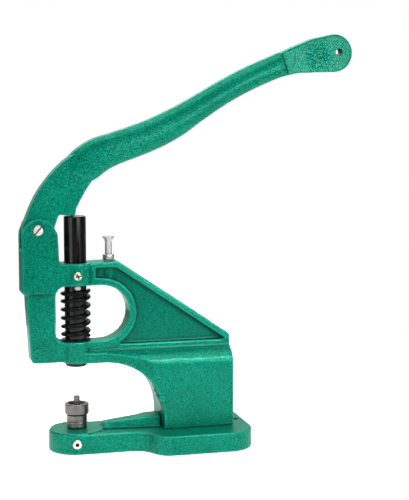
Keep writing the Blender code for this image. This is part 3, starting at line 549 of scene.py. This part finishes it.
def make_materials():
    even = (1, 1, 1)
    return {
        # The three copies of the same paint differ in tone as painted light: the lever's is lightest and
        # the frame's darkest, standing in for how much light each part gets.
        "frame": hammertone("hammertone_frame", 0.0, 0.57),
        "base": hammertone("hammertone_base", 0.31, 0.59),
        "lever": hammertone("hammertone_lever", 0.67, 0.69),
        "ram": black_oxide("black_oxide_ram", gloss=0.25),
        "spring": black_oxide("black_oxide_spring", even, 900.0, gloss=0.06),
        "bolt": black_oxide("black_oxide_bolts", even, 1400.0),
        "die": turned_steel("turned_steel_die", (0.098, 0.094, 0.087), (0.178, 0.170, 0.160),
                            (0.26, 0.44)),
        "zinc": turned_steel("zinc_plate", (0.34, 0.34, 0.32), (0.48, 0.48, 0.455), (0.34, 0.48),
                             even, 1800.0, 0.000004),
        # a lighter copy of the zinc, as painted light: it stands in for the brighter reflection on the
        # pivot head
        "pivot": turned_steel("zinc_plate_pivot", (0.56, 0.56, 0.54), (0.78, 0.78, 0.75),
                              (0.34, 0.48), even, 1800.0, 0.000004),
        "passivated": turned_steel("yellow_zinc_plate", (0.60, 0.60, 0.44), (0.80, 0.79, 0.62),
                                   (0.22, 0.40), even, 1800.0),
        "bronze": turned_steel("sintered_bronze", (0.36, 0.20, 0.08), (0.52, 0.32, 0.13),
                               (0.30, 0.50), even, 2500.0),
    }


# ---------------------------------------------------------------- castings
def make_base(materials):
    """The base: its CAD holes are filled with wider plugs, and cut again once the skin is smooth."""
    lobe_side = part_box("base_plate")[0].x    # the round lobe reaches as far sideways as forwards
    die_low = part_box("lower_die")[0]
    screw, screw_low, screw_high = size_of("die_set_screw")
    screw_hole = (screw_high.z - screw_low.z) / 2 + 0.0002
    die_hole = 0.0053
    bench_hole = 0.0031
    bench_plug = 0.0040
    bolt_hole = 0.0033
    bolt_plug = 0.0066
    head_depth = 0.0080
    above = 0.03                     # clear of the base's highest point
    thickness = base_thickness()
    plug_low, plug_high = 0.0003, thickness - 0.0003
    bench_at = (opening_centre("bench_hole")[0], 0.0)
    screw_at = (0.0, screw.z)
    bolts = [size_of("base_bolt_front"), size_of("base_bolt_rear")]
    plugs = [
        cylinder("plug_die", die_hole + 0.0010, die_low.z, die_seat() - 0.0008),
        cylinder("plug_screw", screw_hole + 0.0008, lobe_side + 0.0006, 0.0, screw_at, "Y"),
        cylinder("plug_bench", bench_plug, plug_low, plug_high, bench_at),
    ]
    plugs[1].data.transform(set_screw_turn())
    plugs += [cylinder("plug_bolt", bolt_plug, plug_low, plug_high, (bolt.x, 0.0))
              for bolt, _, _ in bolts]
    cutters = [
        cylinder("cut_die", die_hole, die_low.z - 0.0003, above),
        cylinder("cut_screw", screw_hole, -0.04, 0.0, screw_at, "Y"),
        cylinder("cut_bench", bench_hole, -0.001, thickness + 0.001, bench_at, flare=0.0016),
    ]
    cutters[1].data.transform(set_screw_turn())
    for bolt, bolt_low, bolt_high in bolts:
        head = (bolt_high.x - bolt_low.x) / 2 + 0.0006
        cutters.append(cylinder("cut_bolt", bolt_hole, -0.001, above, (bolt.x, 0.0)))
        cutters.append(cylinder("cut_head", head, -0.001, head_depth, (bolt.x, 0.0)))
    base = cast_skin("base_casting", "base_plate", CASTING_VOXEL, plugs, cutters)
    dress(base, materials["base"], "frame", "base_plate")


def base_thickness():
    """Height of the plate's flat top, read at its sides."""
    points = frame["nodes"]["base_plate"].data.vertices
    side = max(abs(v.co.y) for v in points)
    return max(v.co.z for v in points if abs(v.co.y) > 0.8 * side)


def die_seat():
    """Height of the shoulder that the lower die rests on: its lowest point outside the stem."""
    points = frame["nodes"]["lower_die"].data.vertices
    return min(v.co.z for v in points if math.hypot(v.co.x, v.co.y) > 0.0060)


def set_screw_turn():
    """Turn round Z, from straight across, of the screw that clamps the die; it points at the ram axis."""
    centre, _, _ = size_of("die_set_screw")
    return Matrix.Rotation(math.atan2(centre.x, -centre.y), 4, "Z")


def cast_flash(at):
    """Ragged flash left on the near edge of the throat."""
    height = 0.0026
    width = 0.0035
    grain = 0.0021
    turn_deg = 22                    # where its middle is on the throat's arc
    reach_deg = 18                   # how far it goes to each side of that
    near_side = -0.004               # Y where it starts; it is full 6 mm nearer
    across, up = at.x - THROAT_CENTRE[0], at.z - THROAT_CENTRE[1]
    if across < 0 or up < 0 or at.y > near_side:
        return 0.0
    along = max(0.0, 1 - abs(math.degrees(math.atan2(up, across)) - turn_deg) / reach_deg)
    away = max(0.0, 1 - abs(math.hypot(across, up) - THROAT_RADIUS) / width)
    deep = min(1.0, (near_side - at.y) / 0.006)
    return height * along * away * deep * max(0.0, noise.noise(at / grain) + 0.25)


def web_area(at):
    """The points of the thin web, which is recessed on both sides of the frame."""
    return (np.abs(at[:, 1]) < 0.0075) & (at[:, 0] > 0.010) & (at[:, 2] > 0.088)


def make_frame(materials):
    """The frame, made like the base; one more filler squares the end of the web's recess."""
    pivot, pin_low, pin_high = size_of("pivot_pin")
    guide, _, _ = size_of("ram_guide_screw")
    stop, _, _ = size_of("stop_screw")
    _, ram_low, ram_high = size_of("ram")
    ram_radius = (ram_high.x - ram_low.x) / 2
    head_radius = (pin_high.x - pin_low.x) / 2
    window_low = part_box("spring_seat_washer")[0].z - GAP
    window_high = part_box("spring_cross_key")[1].z + GAP
    boss_low = ram_low.z + 0.0036
    boss_high = guide.z + 0.0105
    flange_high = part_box("stop_lock_nut")[0].z - GAP
    face = 0.0120                    # half the clevis's width
    cheek = 0.0070                   # half the gap between its cheeks
    far_hole = 0.0042
    guide_hole = 0.0023
    stop_hole = 0.0032
    pivot_at = (pivot.x, pivot.z)
    guide_at = (0.0, guide.z)
    stop_at = (stop.x, 0.0)
    plugs = [
        cylinder("plug_near_ear", head_radius + 0.001, -face + INSET, -cheek - INSET, pivot_at, "Y"),
        cylinder("plug_far_ear", 0.0052, cheek + INSET, face - INSET, pivot_at, "Y"),
        cylinder("plug_lower_boss", ram_radius + 0.0010, boss_low + INSET, window_low - INSET),
        cylinder("plug_upper_boss", ram_radius + 0.0010, window_high + INSET, boss_high - INSET),
        cylinder("plug_guide", 0.0032, -0.0132, -0.0080, guide_at, "Y"),
        cylinder("plug_stop", 0.0066, window_high + 0.0040, flange_high - 0.0015, stop_at),
        block("plug_recess_end", (0.0115, -0.0100, window_high + 0.0040),
              (0.0162, 0.0100, boss_high - 0.0015)),
    ]
    cutters = [
        cylinder("cut_near_ear", head_radius + FIT, -CUT_REACH, 0.0, pivot_at, "Y"),
        cylinder("cut_far_ear", far_hole, 0.0, CUT_REACH, pivot_at, "Y"),
        cylinder("cut_bore", ram_radius + FIT, boss_low - 0.003, boss_high + 0.0065),
        cylinder("cut_guide", guide_hole, -CUT_REACH, 0.0, guide_at, "Y"),
        cylinder("cut_stop", stop_hole, window_high - 0.005, flange_high + 0.0055, stop_at),
    ]
    casting = cast_skin("frame_casting_skin", "frame_casting", CASTING_VOXEL, plugs, cutters,
                        rough_area=cast_flash, painted_shade_panel=web_area)
    dress(casting, materials["frame"], "frame", "frame_casting")


def make_lever(materials):
    """The lever, made like the base, with a softened grip and relief on its flat end."""
    pivot, _, _ = size_of("pivot_pin")
    bush_low, bush_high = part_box("lever_bush")
    bush_radius = (bush_high.x - bush_low.x) / 2
    half = (bush_high.y - bush_low.y) / 2
    flat_half = 0.0056               # half the thickness of the handle's flat end
    pivot_at = (pivot.x, pivot.z)
    hole_at = opening_centre("lever_hole")
    plugs = [cylinder("plug_bush", bush_radius + 0.001, -half, half, pivot_at, "Y"),
             cylinder("plug_hole", 0.0042, -flat_half + INSET, flat_half - INSET, hole_at, "Y")]
    cutters = [cylinder("cut_bush", bush_radius + 0.00015, -CUT_REACH, CUT_REACH, pivot_at, "Y"),
               cylinder("cut_hole", 0.0031, -CUT_REACH, CUT_REACH, hole_at, "Y")]
    patch_middle = Vector((hole_at[0] - 0.020, 0.0, hole_at[1] - 0.004))
    patch_radius = 0.015
    patch_height = 0.00060
    pebble = 0.0027
    rim_width = 0.0009
    rim_height = 0.0013
    rim_turn_deg = 212               # where the rim's middle is on its circle
    rim_reach_deg = 50               # how far it goes to each side of that

    def cast_relief(at):
        """A coarse pebbled patch on the handle's flat end, and a raised rim where the grip starts."""
        away = (Vector((at.x, 0, at.z)) - patch_middle).length / patch_radius
        patch = patch_height * max(0.0, 1 - away * away) * noise.noise(at / pebble)
        across, up = at.x - GRIP_RIM_CENTRE[0], at.z - GRIP_RIM_CENTRE[1]
        turn = math.degrees(math.atan2(up, across)) % 360
        along = max(0.0, 1 - (abs(turn - rim_turn_deg) / rim_reach_deg) ** 2)
        ring = (math.hypot(across, up) - GRIP_RIM_RADIUS) / rim_width
        return patch + rim_height * along * math.exp(-ring * ring)

    def grip_area(at):
        """The points of the oval grip, which is softer than the root and the flat end."""
        return (at[:, 0] > 0.016) & (at[:, 0] < 0.180)

    lever = cast_skin("lever_casting", "lever", LEVER_VOXEL, plugs, cutters, rounds=6,
                      rough_area=cast_relief, soft_area=grip_area)
    dress(lever, materials["lever"], "lever", "lever")


# ---------------------------------------------------------------- dies and ram
def make_die(materials):
    """The lower die, with two grooves round its neck, and the pilot pin in its cup."""
    _, low, high = size_of("lower_die")
    _, pin_low, pin_high = size_of("die_pilot_pin")
    head = (high.x - low.x) / 2
    neck = head - 0.0016
    groove_floor = neck - 0.0003
    stem = 0.0050
    seat = die_seat()
    cup_floor = high.z - 0.0026
    pin = (pin_high.x - pin_low.x) / 2
    line = [(0, pin_low.z - 0.0002), (pin + 0.0001, pin_low.z - 0.0002), (pin + 0.0001, cup_floor),
            (0.0066, cup_floor), (0.0080, high.z - 0.0003), (0.0084, high.z), (head - 0.0007, high.z),
            (head, high.z - 0.0007), (head, high.z - 0.0085), (neck, high.z - 0.0102)]
    for top, bottom in ((0.0062, 0.0051), (0.0037, 0.0027)):    # the two grooves
        line += [(neck, seat + top), (groove_floor, seat + top - 0.0003),
                 (groove_floor, seat + bottom + 0.0003), (neck, seat + bottom)]
    line += [(neck, seat + 0.0005), (neck - 0.0005, seat), (stem, seat), (stem, low.z + 0.001),
             (stem - 0.0008, low.z), (0, low.z)]
    die = shade(turned("lower_die_turned", round_corners(line, 0.00025)), 50)
    dress(die, materials["die"], "frame", "lower_die")
    tip = [(0, pin_high.z), (pin - 0.0009, pin_high.z - 0.0001), (pin, pin_high.z - 0.0011),
           (pin, high.z + 0.0002), (pin - 0.00015, high.z), (pin, high.z - 0.0002),
           (pin, pin_low.z), (0, pin_low.z)]
    pilot = shade(turned("pilot_pin_turned", round_corners(tip, 0.0004)), 50)
    dress(pilot, materials["die"], "frame", "die_pilot_pin")


def make_ram(materials):
    """The ram, with a socket below, a keyway in front and a flat key across it."""
    _, low, high = size_of("ram")
    radius = (high.x - low.x) / 2
    guide, _, _ = size_of("ram_guide_screw")
    key, _, key_high = size_of("spring_cross_key")
    key_half = key_high - key
    socket = 0.0040
    line = [(0, high.z), (radius - 0.0009, high.z), (radius, high.z - 0.0007),
            (radius, low.z + 0.0008), (radius - 0.0008, low.z),
            (socket + 0.0005, low.z), (socket, low.z + 0.0005), (socket, low.z + 0.020),
            (0, low.z + 0.0222)]
    ram = turned("ram_turned", round_corners(line, 0.0005))
    half_width = 0.0021
    keyway_floor = -radius + 0.0022
    outside = keyway_floor - 0.004
    slot_low = guide.z - 0.0045 + half_width     # the keyway is as long as the ram's travel and more
    slot_high = guide.z + 0.0285 - half_width
    slot = block("keyway", (-half_width, outside, slot_low), (half_width, keyway_floor, slot_high))
    ends = [cylinder("keyway_end", half_width, outside, keyway_floor, (0.0, height), "Y", sides=48)
            for height in (slot_low, slot_high)]
    cross = flat_key("key_slot", key, key_half + Vector((0.0001, 0.01, 0.0001)))
    shade(combine(ram, [slot, *ends, cross], solver="EXACT"))
    dress(ram, materials["ram"], "ram", "ram")

    bar = flat_key("cross_key_bar", key, key_half, bevel=0.0004)
    dress(shade(bar), materials["zinc"], "ram", "spring_cross_key")


def flat_key(name, centre, half, bevel=0.0, steps=12):
    """A flat bar along Y with half-round edges."""
    straight = half.x - half.z
    outline = []
    for side, start in ((1, -math.pi / 2), (-1, math.pi / 2)):
        angles = [start + math.pi * step / steps for step in range(steps + 1)]
        outline += [(side * straight + half.z * math.cos(angle), half.z * math.sin(angle))
                    for angle in angles]
    build = bmesh.new()
    ends = [[build.verts.new((x, y, z)) for x, z in outline] for y in (-half.y, half.y)]
    for index in range(len(outline)):
        after = (index + 1) % len(outline)
        build.faces.new((ends[0][index], ends[0][after], ends[1][after], ends[1][index]))
    caps = [build.faces.new(end) for end in ends]
    if bevel:
        rims = {edge for cap in caps for edge in cap.edges}
        bmesh.ops.bevel(build, geom=list(rims), offset=bevel, segments=2, affect="EDGES")
    build.transform(Matrix.Translation(centre))
    return from_bmesh(name, build)


def coil_line(low, high, wire):
    """Middle line of the spring's wire: the first and last part of a turn are closed up."""
    coil = (high.x - low.x) / 2 - wire
    turns = 6.0
    closed = 0.75
    steps = 240                      # 40 in each turn
    rise = 2 * wire + 0.0002         # of a closed end, where the turns nearly touch
    middle_rise = high.z - low.z - 2 * wire - 2 * rise
    line = []
    for step in range(steps + 1):
        turn = turns * step / steps
        first = min(turn, closed) / closed
        last = max(turn - turns + closed, 0) / closed
        middle = min(max(turn - closed, 0), turns - 2 * closed) / (turns - 2 * closed)
        angle = math.tau * turn
        line.append(Vector((coil * math.cos(angle), coil * math.sin(angle),
                            low.z + wire + rise * (first + last) + middle_rise * middle)))
    return line


def make_spring(materials):
    """A wound spring with closed, ground ends, on the frame."""
    _, low, high = size_of("return_spring")
    wire = 0.00165
    ground = 0.0004                  # taken off the first and last turn, so that they sit flat
    around = 14                      # sides of the wire
    line = coil_line(low, high, wire)
    build = bmesh.new()
    rings = []
    for index, place in enumerate(line):
        along = (line[min(index + 1, len(line) - 1)] - line[max(index - 1, 0)]).normalized()
        out = Vector((place.x, place.y, 0)).normalized()
        up = along.cross(out).normalized()
        ring = []
        for side in range(around):
            angle = math.tau * side / around
            point = place + wire * (math.cos(angle) * out + math.sin(angle) * up)
            point.z = min(max(point.z, low.z + ground), high.z - ground)
            ring.append(build.verts.new(point))
        rings.append(ring)
    for ring, following in zip(rings, rings[1:]):
        for side in range(around):
            after = (side + 1) % around
            build.faces.new((ring[side], ring[after], following[after], following[side]))
    build.faces.new(rings[0])
    build.faces.new(rings[-1])
    spring = shade(from_bmesh("return_spring_wound", build), 60)
    dress(spring, materials["spring"], "frame", "return_spring")
    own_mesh(spring)


# ---------------------------------------------------------------- screws, nuts and bolts
def make_set_screw(materials):
    """The socket screw in the lobe that clamps the die's stem."""
    centre, low, high = size_of("die_set_screw")
    radius = (high.z - low.z) / 2
    points = [v.co for v in frame["nodes"]["die_set_screw"].data.vertices]
    reach = [math.hypot(at.x, at.y) for at in points if abs(at.z - centre.z) < 0.5 * radius]
    inner = min(reach)
    length = max(reach) - inner
    line = [(0, length), (radius - 0.0007, length), (radius, length - 0.0006),
            (radius, 0.0012), (radius - 0.0012, 0), (0, 0)]
    screw = turned("set_screw_threaded", round_corners(line, 0.0002),
                   thread=(0.0013, length - 0.0008), depth=0.0004)
    key = cylinder("hex_key", 0.0019, length - 0.004, length + 0.001, sides=6)
    shade(combine(screw, [key], solver="EXACT"), 35)
    shade_recess(screw, lambda at: math.hypot(at.x, at.y) < 0.00195
         and length - 0.0041 < at.z < length - 0.0002)
    point_to_front(screw, (0.0, -inner, centre.z))
    screw.data.transform(set_screw_turn())
    dress(screw, materials["passivated"], "frame", "die_set_screw")


def make_guide_screw(materials):
    """The cross-recess screw in the upper boss, whose tip runs in the ram's keyway."""
    centre, low, high = size_of("ram_guide_screw")
    radius = (high.x - low.x) / 2
    tip = -high.y
    top = -low.y
    face = top - 0.0022
    line = [(0, top), (0.0014, top - 0.0001), (0.0028, top - 0.0006), (radius - 0.0002, top - 0.0013),
            (radius, top - 0.0018), (radius - 0.0001, face), (0.0020, face), (0.0020, tip + 0.003),
            (0.0015, tip + 0.0024), (0.0015, tip), (0, tip)]
    screw = turned("guide_screw_turned", round_corners(line, 0.0003))
    arms = [block("recess", (-0.0024, -0.0007, top - 0.0019), (0.0024, 0.0007, top + 0.001)),
            block("recess_across", (-0.0007, -0.0024, top - 0.00191), (0.0007, 0.0024, top + 0.0011))]
    shade(combine(screw, arms, solver="EXACT"), 35)
    shade_recess(screw, lambda at: max(abs(at.x), abs(at.y)) < 0.00245 and min(abs(at.x), abs(at.y)) < 0.00071
         and top - 0.0020 < at.z < top - 0.0004)
    screw.data.transform(Matrix.Rotation(math.radians(10), 4, "Z"))
    point_to_front(screw, (0.0, 0.0, centre.z))
    dress(screw, materials["passivated"], "frame", "ram_guide_screw")


def make_stop_screw(materials):
    """The slotted, conical-headed stop screw on top of the frame."""
    centre, low, high = size_of("stop_screw")
    radius = (high.x - low.x) / 2
    shank = 0.0030
    under = high.z - 0.0047
    line = [(0, high.z), (radius - 0.0004, high.z), (radius, high.z - 0.0004),
            (radius, high.z - 0.0014), (shank + 0.0002, under), (shank, under - 0.0006),
            (shank, low.z + 0.0006), (shank - 0.0006, low.z), (0, low.z)]
    screw = turned("stop_screw_threaded", round_corners(line, 0.0002),
                   thread=(low.z + 0.0007, under - 0.0007))
    slot = block("slot", (-0.01, -0.0006, high.z - 0.0016), (0.01, 0.0006, high.z + 0.001),
                 Matrix.Rotation(math.radians(25), 4, "Z"))
    shade(combine(screw, [slot], solver="EXACT"), 35)
    screw.data.transform(Matrix.Translation((centre.x, 0, 0)))
    dress(screw, materials["zinc"], "stop_screw", "stop_screw")


def hex_nut(name, height, corner, bore=0.0031):
    """A hexagon nut round Z from 0 up, with both faces chamfered and the bore countersunk."""
    nut = cylinder(name, corner, 0.0, height, sides=6)
    flat = corner * math.cos(math.pi / 6)
    drop = (corner - flat) * 0.55
    rim = flat * 0.96
    past = 0.00001                   # keeps the envelope's faces off the nut's
    envelope = [(0, height + past), (rim, height + past), (corner + 0.0001, height - drop),
                (corner + 0.0001, drop), (rim, -past), (0, -past)]
    combine(nut, [turned("envelope", envelope)], "INTERSECT", "EXACT")
    mouth = bore + 0.0014
    hole = [(0, height + 0.001), (mouth, height + 0.001), (bore, height - 0.0004),
            (bore, 0.0004), (mouth, -0.001), (0, -0.001)]
    combine(nut, [turned("hole", hole)], "DIFFERENCE", "EXACT")
    bevel = nut.modifiers.new("soft_edges", "BEVEL")
    bevel.width = 0.00012
    bevel.segments = 2
    bevel.limit_method = "ANGLE"
    bevel.angle_limit = math.radians(25)
    apply_modifiers(nut)
    return shade(nut, 30)


def make_lock_nut(materials):
    """The nut that locks the stop screw, on top of the frame."""
    centre, low, high = size_of("stop_lock_nut")
    corner = (high.x - low.x) / 2
    nut = hex_nut("lock_nut_chamfered", high.z - low.z, corner)
    nut.data.transform(Matrix.Translation((centre.x, 0, low.z)))
    dress(nut, materials["zinc"], "frame", "stop_lock_nut")


def make_pivot(materials):
    """The slotted shoulder bolt through the clevis, and its nut on the far side."""
    centre, low, high = size_of("pivot_pin")
    radius = (high.x - low.x) / 2
    top = -low.y
    end = -high.y
    shank = 0.0040
    thread = 0.0030
    shoulder = -0.01215
    under = 0.0073                   # how far from the middle the head's underside is
    line = [(0, top), (radius - 0.0009, top), (radius, top - 0.0007), (radius, under),
            (shank, under), (shank, shoulder), (thread, shoulder), (thread, end + 0.0005),
            (thread - 0.0005, end), (0, end)]
    pin = turned("pivot_pin_turned", round_corners(line, 0.0003),
                 thread=(end + 0.0006, shoulder - 0.0004))
    slot = block("slot", (-0.01, -0.0007, top - 0.0011), (0.01, 0.0007, top + 0.001),
                 Matrix.Rotation(math.radians(50), 4, "Z"))
    shade(combine(pin, [slot], solver="EXACT"), 35)
    shade_recess(pin, lambda at: math.hypot(at.x, at.y) < radius - 0.0003
         and top - 0.00115 < at.z < top - 0.0003)
    point_to_front(pin, (centre.x, 0.0, centre.z))
    dress(pin, materials["pivot"], "frame", "pivot_pin")

    centre, low, high = size_of("pivot_nut")
    nut = hex_nut("pivot_nut_chamfered", high.y - low.y, (high.x - low.x) / 2)
    nut.data.transform(Matrix.Translation((centre.x, low.y, centre.z))
                       @ Matrix.Rotation(-math.pi / 2, 4, "X"))
    dress(nut, materials["zinc"], "frame", "pivot_nut")


def make_base_bolts(materials):
    """The two socket bolts that hold the frame on the base from below."""
    for end in ("front", "rear"):
        node = f"base_bolt_{end}"
        centre, low, high = size_of(node)
        head = (high.x - low.x) / 2
        shank = 0.0030
        under = low.z + 0.0060
        line = [(0, high.z), (shank - 0.0005, high.z), (shank, high.z - 0.0005), (shank, under),
                (head, under), (head, low.z + 0.0006), (head - 0.0006, low.z), (0, low.z)]
        bolt = turned(node + "_threaded", round_corners(line, 0.0003),
                      thread=(under + 0.004, high.z - 0.0006))
        key = cylinder("hex_key", 0.0029, low.z - 0.001, low.z + 0.003, sides=6)
        shade(combine(bolt, [key], solver="EXACT"), 35)
        bolt.data.transform(Matrix.Translation((centre.x, 0, 0)))
        dress(bolt, materials["bolt"], "frame", node)


def finish_carried_nodes(materials):
    """The plain rings whose CAD shape is right keep it and get a finish."""
    for node, key in (("base_washer_front", "zinc"), ("base_washer_rear", "zinc"),
                      ("pivot_washer", "zinc"), ("spring_seat_washer", "spring"),
                      ("lever_bush", "bronze")):
        item = frame["nodes"][node]
        item.data.materials.clear()
        item.data.materials.append(materials[key])


# ---------------------------------------------------------------- stage, lights and camera
def make_stage():
    """A white floor that glows a little, so that it reads as white as the backdrop."""
    build = bmesh.new()
    bmesh.ops.create_circle(build, cap_ends=True, segments=96, radius=FLOOR_RADIUS)
    floor = from_bmesh("floor", build)
    floor.location = FLOOR_CENTRE
    material = bpy.data.materials.new("white_floor")
    material.use_nodes = True
    inputs = material.node_tree.nodes["Principled BSDF"].inputs
    inputs["Base Color"].default_value = (0.85, 0.85, 0.85, 1.0)
    inputs["Roughness"].default_value = 0.9
    inputs["Emission Color"].default_value = (1.0, 1.0, 1.0, 1.0)
    inputs["Emission Strength"].default_value = FLOOR_GLOW
    floor.data.materials.append(material)


def add_light(name, place, target, width, height, power, spread=180):
    """A rectangular lamp at a place, turned to a target; spread is its cone in degrees."""
    data = bpy.data.lights.new(name, "AREA")
    data.shape = "RECTANGLE"
    data.size = width
    data.size_y = height
    data.energy = power
    data.spread = math.radians(spread)
    light = add_object(name, data)
    light.location = place
    light.rotation_mode = "QUATERNION"
    light.rotation_quaternion = (Vector(target) - Vector(place)).to_track_quat("-Z", "Y")


def make_backdrop():
    """White where the camera looks; for the light it is bright behind and above, dim in front."""
    world = bpy.data.worlds.new("studio")
    bpy.context.scene.world = world
    world.use_nodes = True
    tree = world.node_tree

    def node(kind, inputs, **settings):
        made = tree.nodes.new(kind)
        for key, value in settings.items():
            setattr(made, key, value)
        for key, value in inputs.items():
            if isinstance(value, bpy.types.NodeSocket):
                tree.links.new(value, made.inputs[key])
            else:
                made.inputs[key].default_value = value
        return made.outputs[0]

    def remap(value, low, high, low_value, high_value):
        return node("ShaderNodeMapRange", {"Value": value, "From Min": low, "From Max": high,
                                           "To Min": low_value, "To Max": high_value})

    coords = tree.nodes.new("ShaderNodeTexCoord").outputs["Generated"]
    split = tree.nodes.new("ShaderNodeSeparateXYZ")
    tree.links.new(coords, split.inputs[0])
    behind = remap(split.outputs["Y"], -0.1, 0.9, SKY_FRONT, SKY_BEHIND)
    above = remap(split.outputs["Z"], 0.2, 1.0, 0.0, SKY_ABOVE)
    sky = node("ShaderNodeMath", {0: behind, 1: above}, operation="MAXIMUM")
    horizon = remap(split.outputs["Z"], -0.10, 0.02, SKY_BELOW, 1.0)
    lit = node("ShaderNodeMath", {0: sky, 1: horizon}, operation="MULTIPLY")
    path = tree.nodes.new("ShaderNodeLightPath")
    strength = node("ShaderNodeMath", {0: path.outputs["Is Camera Ray"], 1: lit}, operation="MAXIMUM")
    background = tree.nodes["Background"]
    background.inputs["Color"].default_value = (1.0, 1.0, 1.0, 1.0)
    tree.links.new(strength, background.inputs["Strength"])


def make_lights():
    """Large soft lamps, and three small ones that give the paint its sheen."""
    middle = (0.05, 0.0, 0.15)
    add_light("overhead", (0.00, -0.22, 1.30), (0.05, 0.0, 0.0), 1.3, 1.2, 15.0)
    add_light("rear_top", (0.00, 0.90, 1.00), middle, 1.2, 0.5, 12.0)
    add_light("left_softbox", (-1.10, -0.75, 0.32), middle, 0.85, 0.9, 7.2)
    add_light("right_strip", (0.80, -0.78, 0.42), middle, 0.28, 1.0, 1.1)
    add_light("front_panel", (0.30, -0.60, 0.25), (0.08, 0.0, 0.21), 0.30, 0.16, 1.3)
    # Two narrow lamps, for the sheen on the column's shoulder and on the handle's flat end
    add_light("shoulder_strip", (0.22, -0.45, 0.42), (0.085, -0.015, 0.080), 0.25, 0.10, 0.15, 36)
    add_light("paddle_strip", (0.416, -0.53, 0.345), (0.225, 0.0, 0.335), 0.12, 0.12, 0.028, 40)


def make_camera():
    """The camera, which looks along +Y, turned and tipped by its yaw and pitch."""
    data = bpy.data.cameras.new("camera")
    data.sensor_width = 36.0
    data.lens = CAMERA_LENS
    data.clip_end = 50.0
    camera = add_object("camera", data)
    camera.location = CAMERA_PLACE
    camera.rotation_euler = (math.pi / 2 - CAMERA_PITCH, 0.0, -CAMERA_YAW)
    bpy.context.scene.camera = camera


def main():
    bpy.context.scene.view_settings.view_transform = "Standard"
    make_camera()
    make_stage()
    make_backdrop()
    make_lights()
    materials = make_materials()
    make_base(materials)
    make_frame(materials)
    make_lever(materials)
    make_die(materials)
    make_ram(materials)
    make_spring(materials)
    make_set_screw(materials)
    make_guide_screw(materials)
    make_stop_screw(materials)
    make_lock_nut(materials)
    make_pivot(materials)
    make_base_bolts(materials)
    finish_carried_nodes(materials)
    bpy.context.view_layer.update()


main()
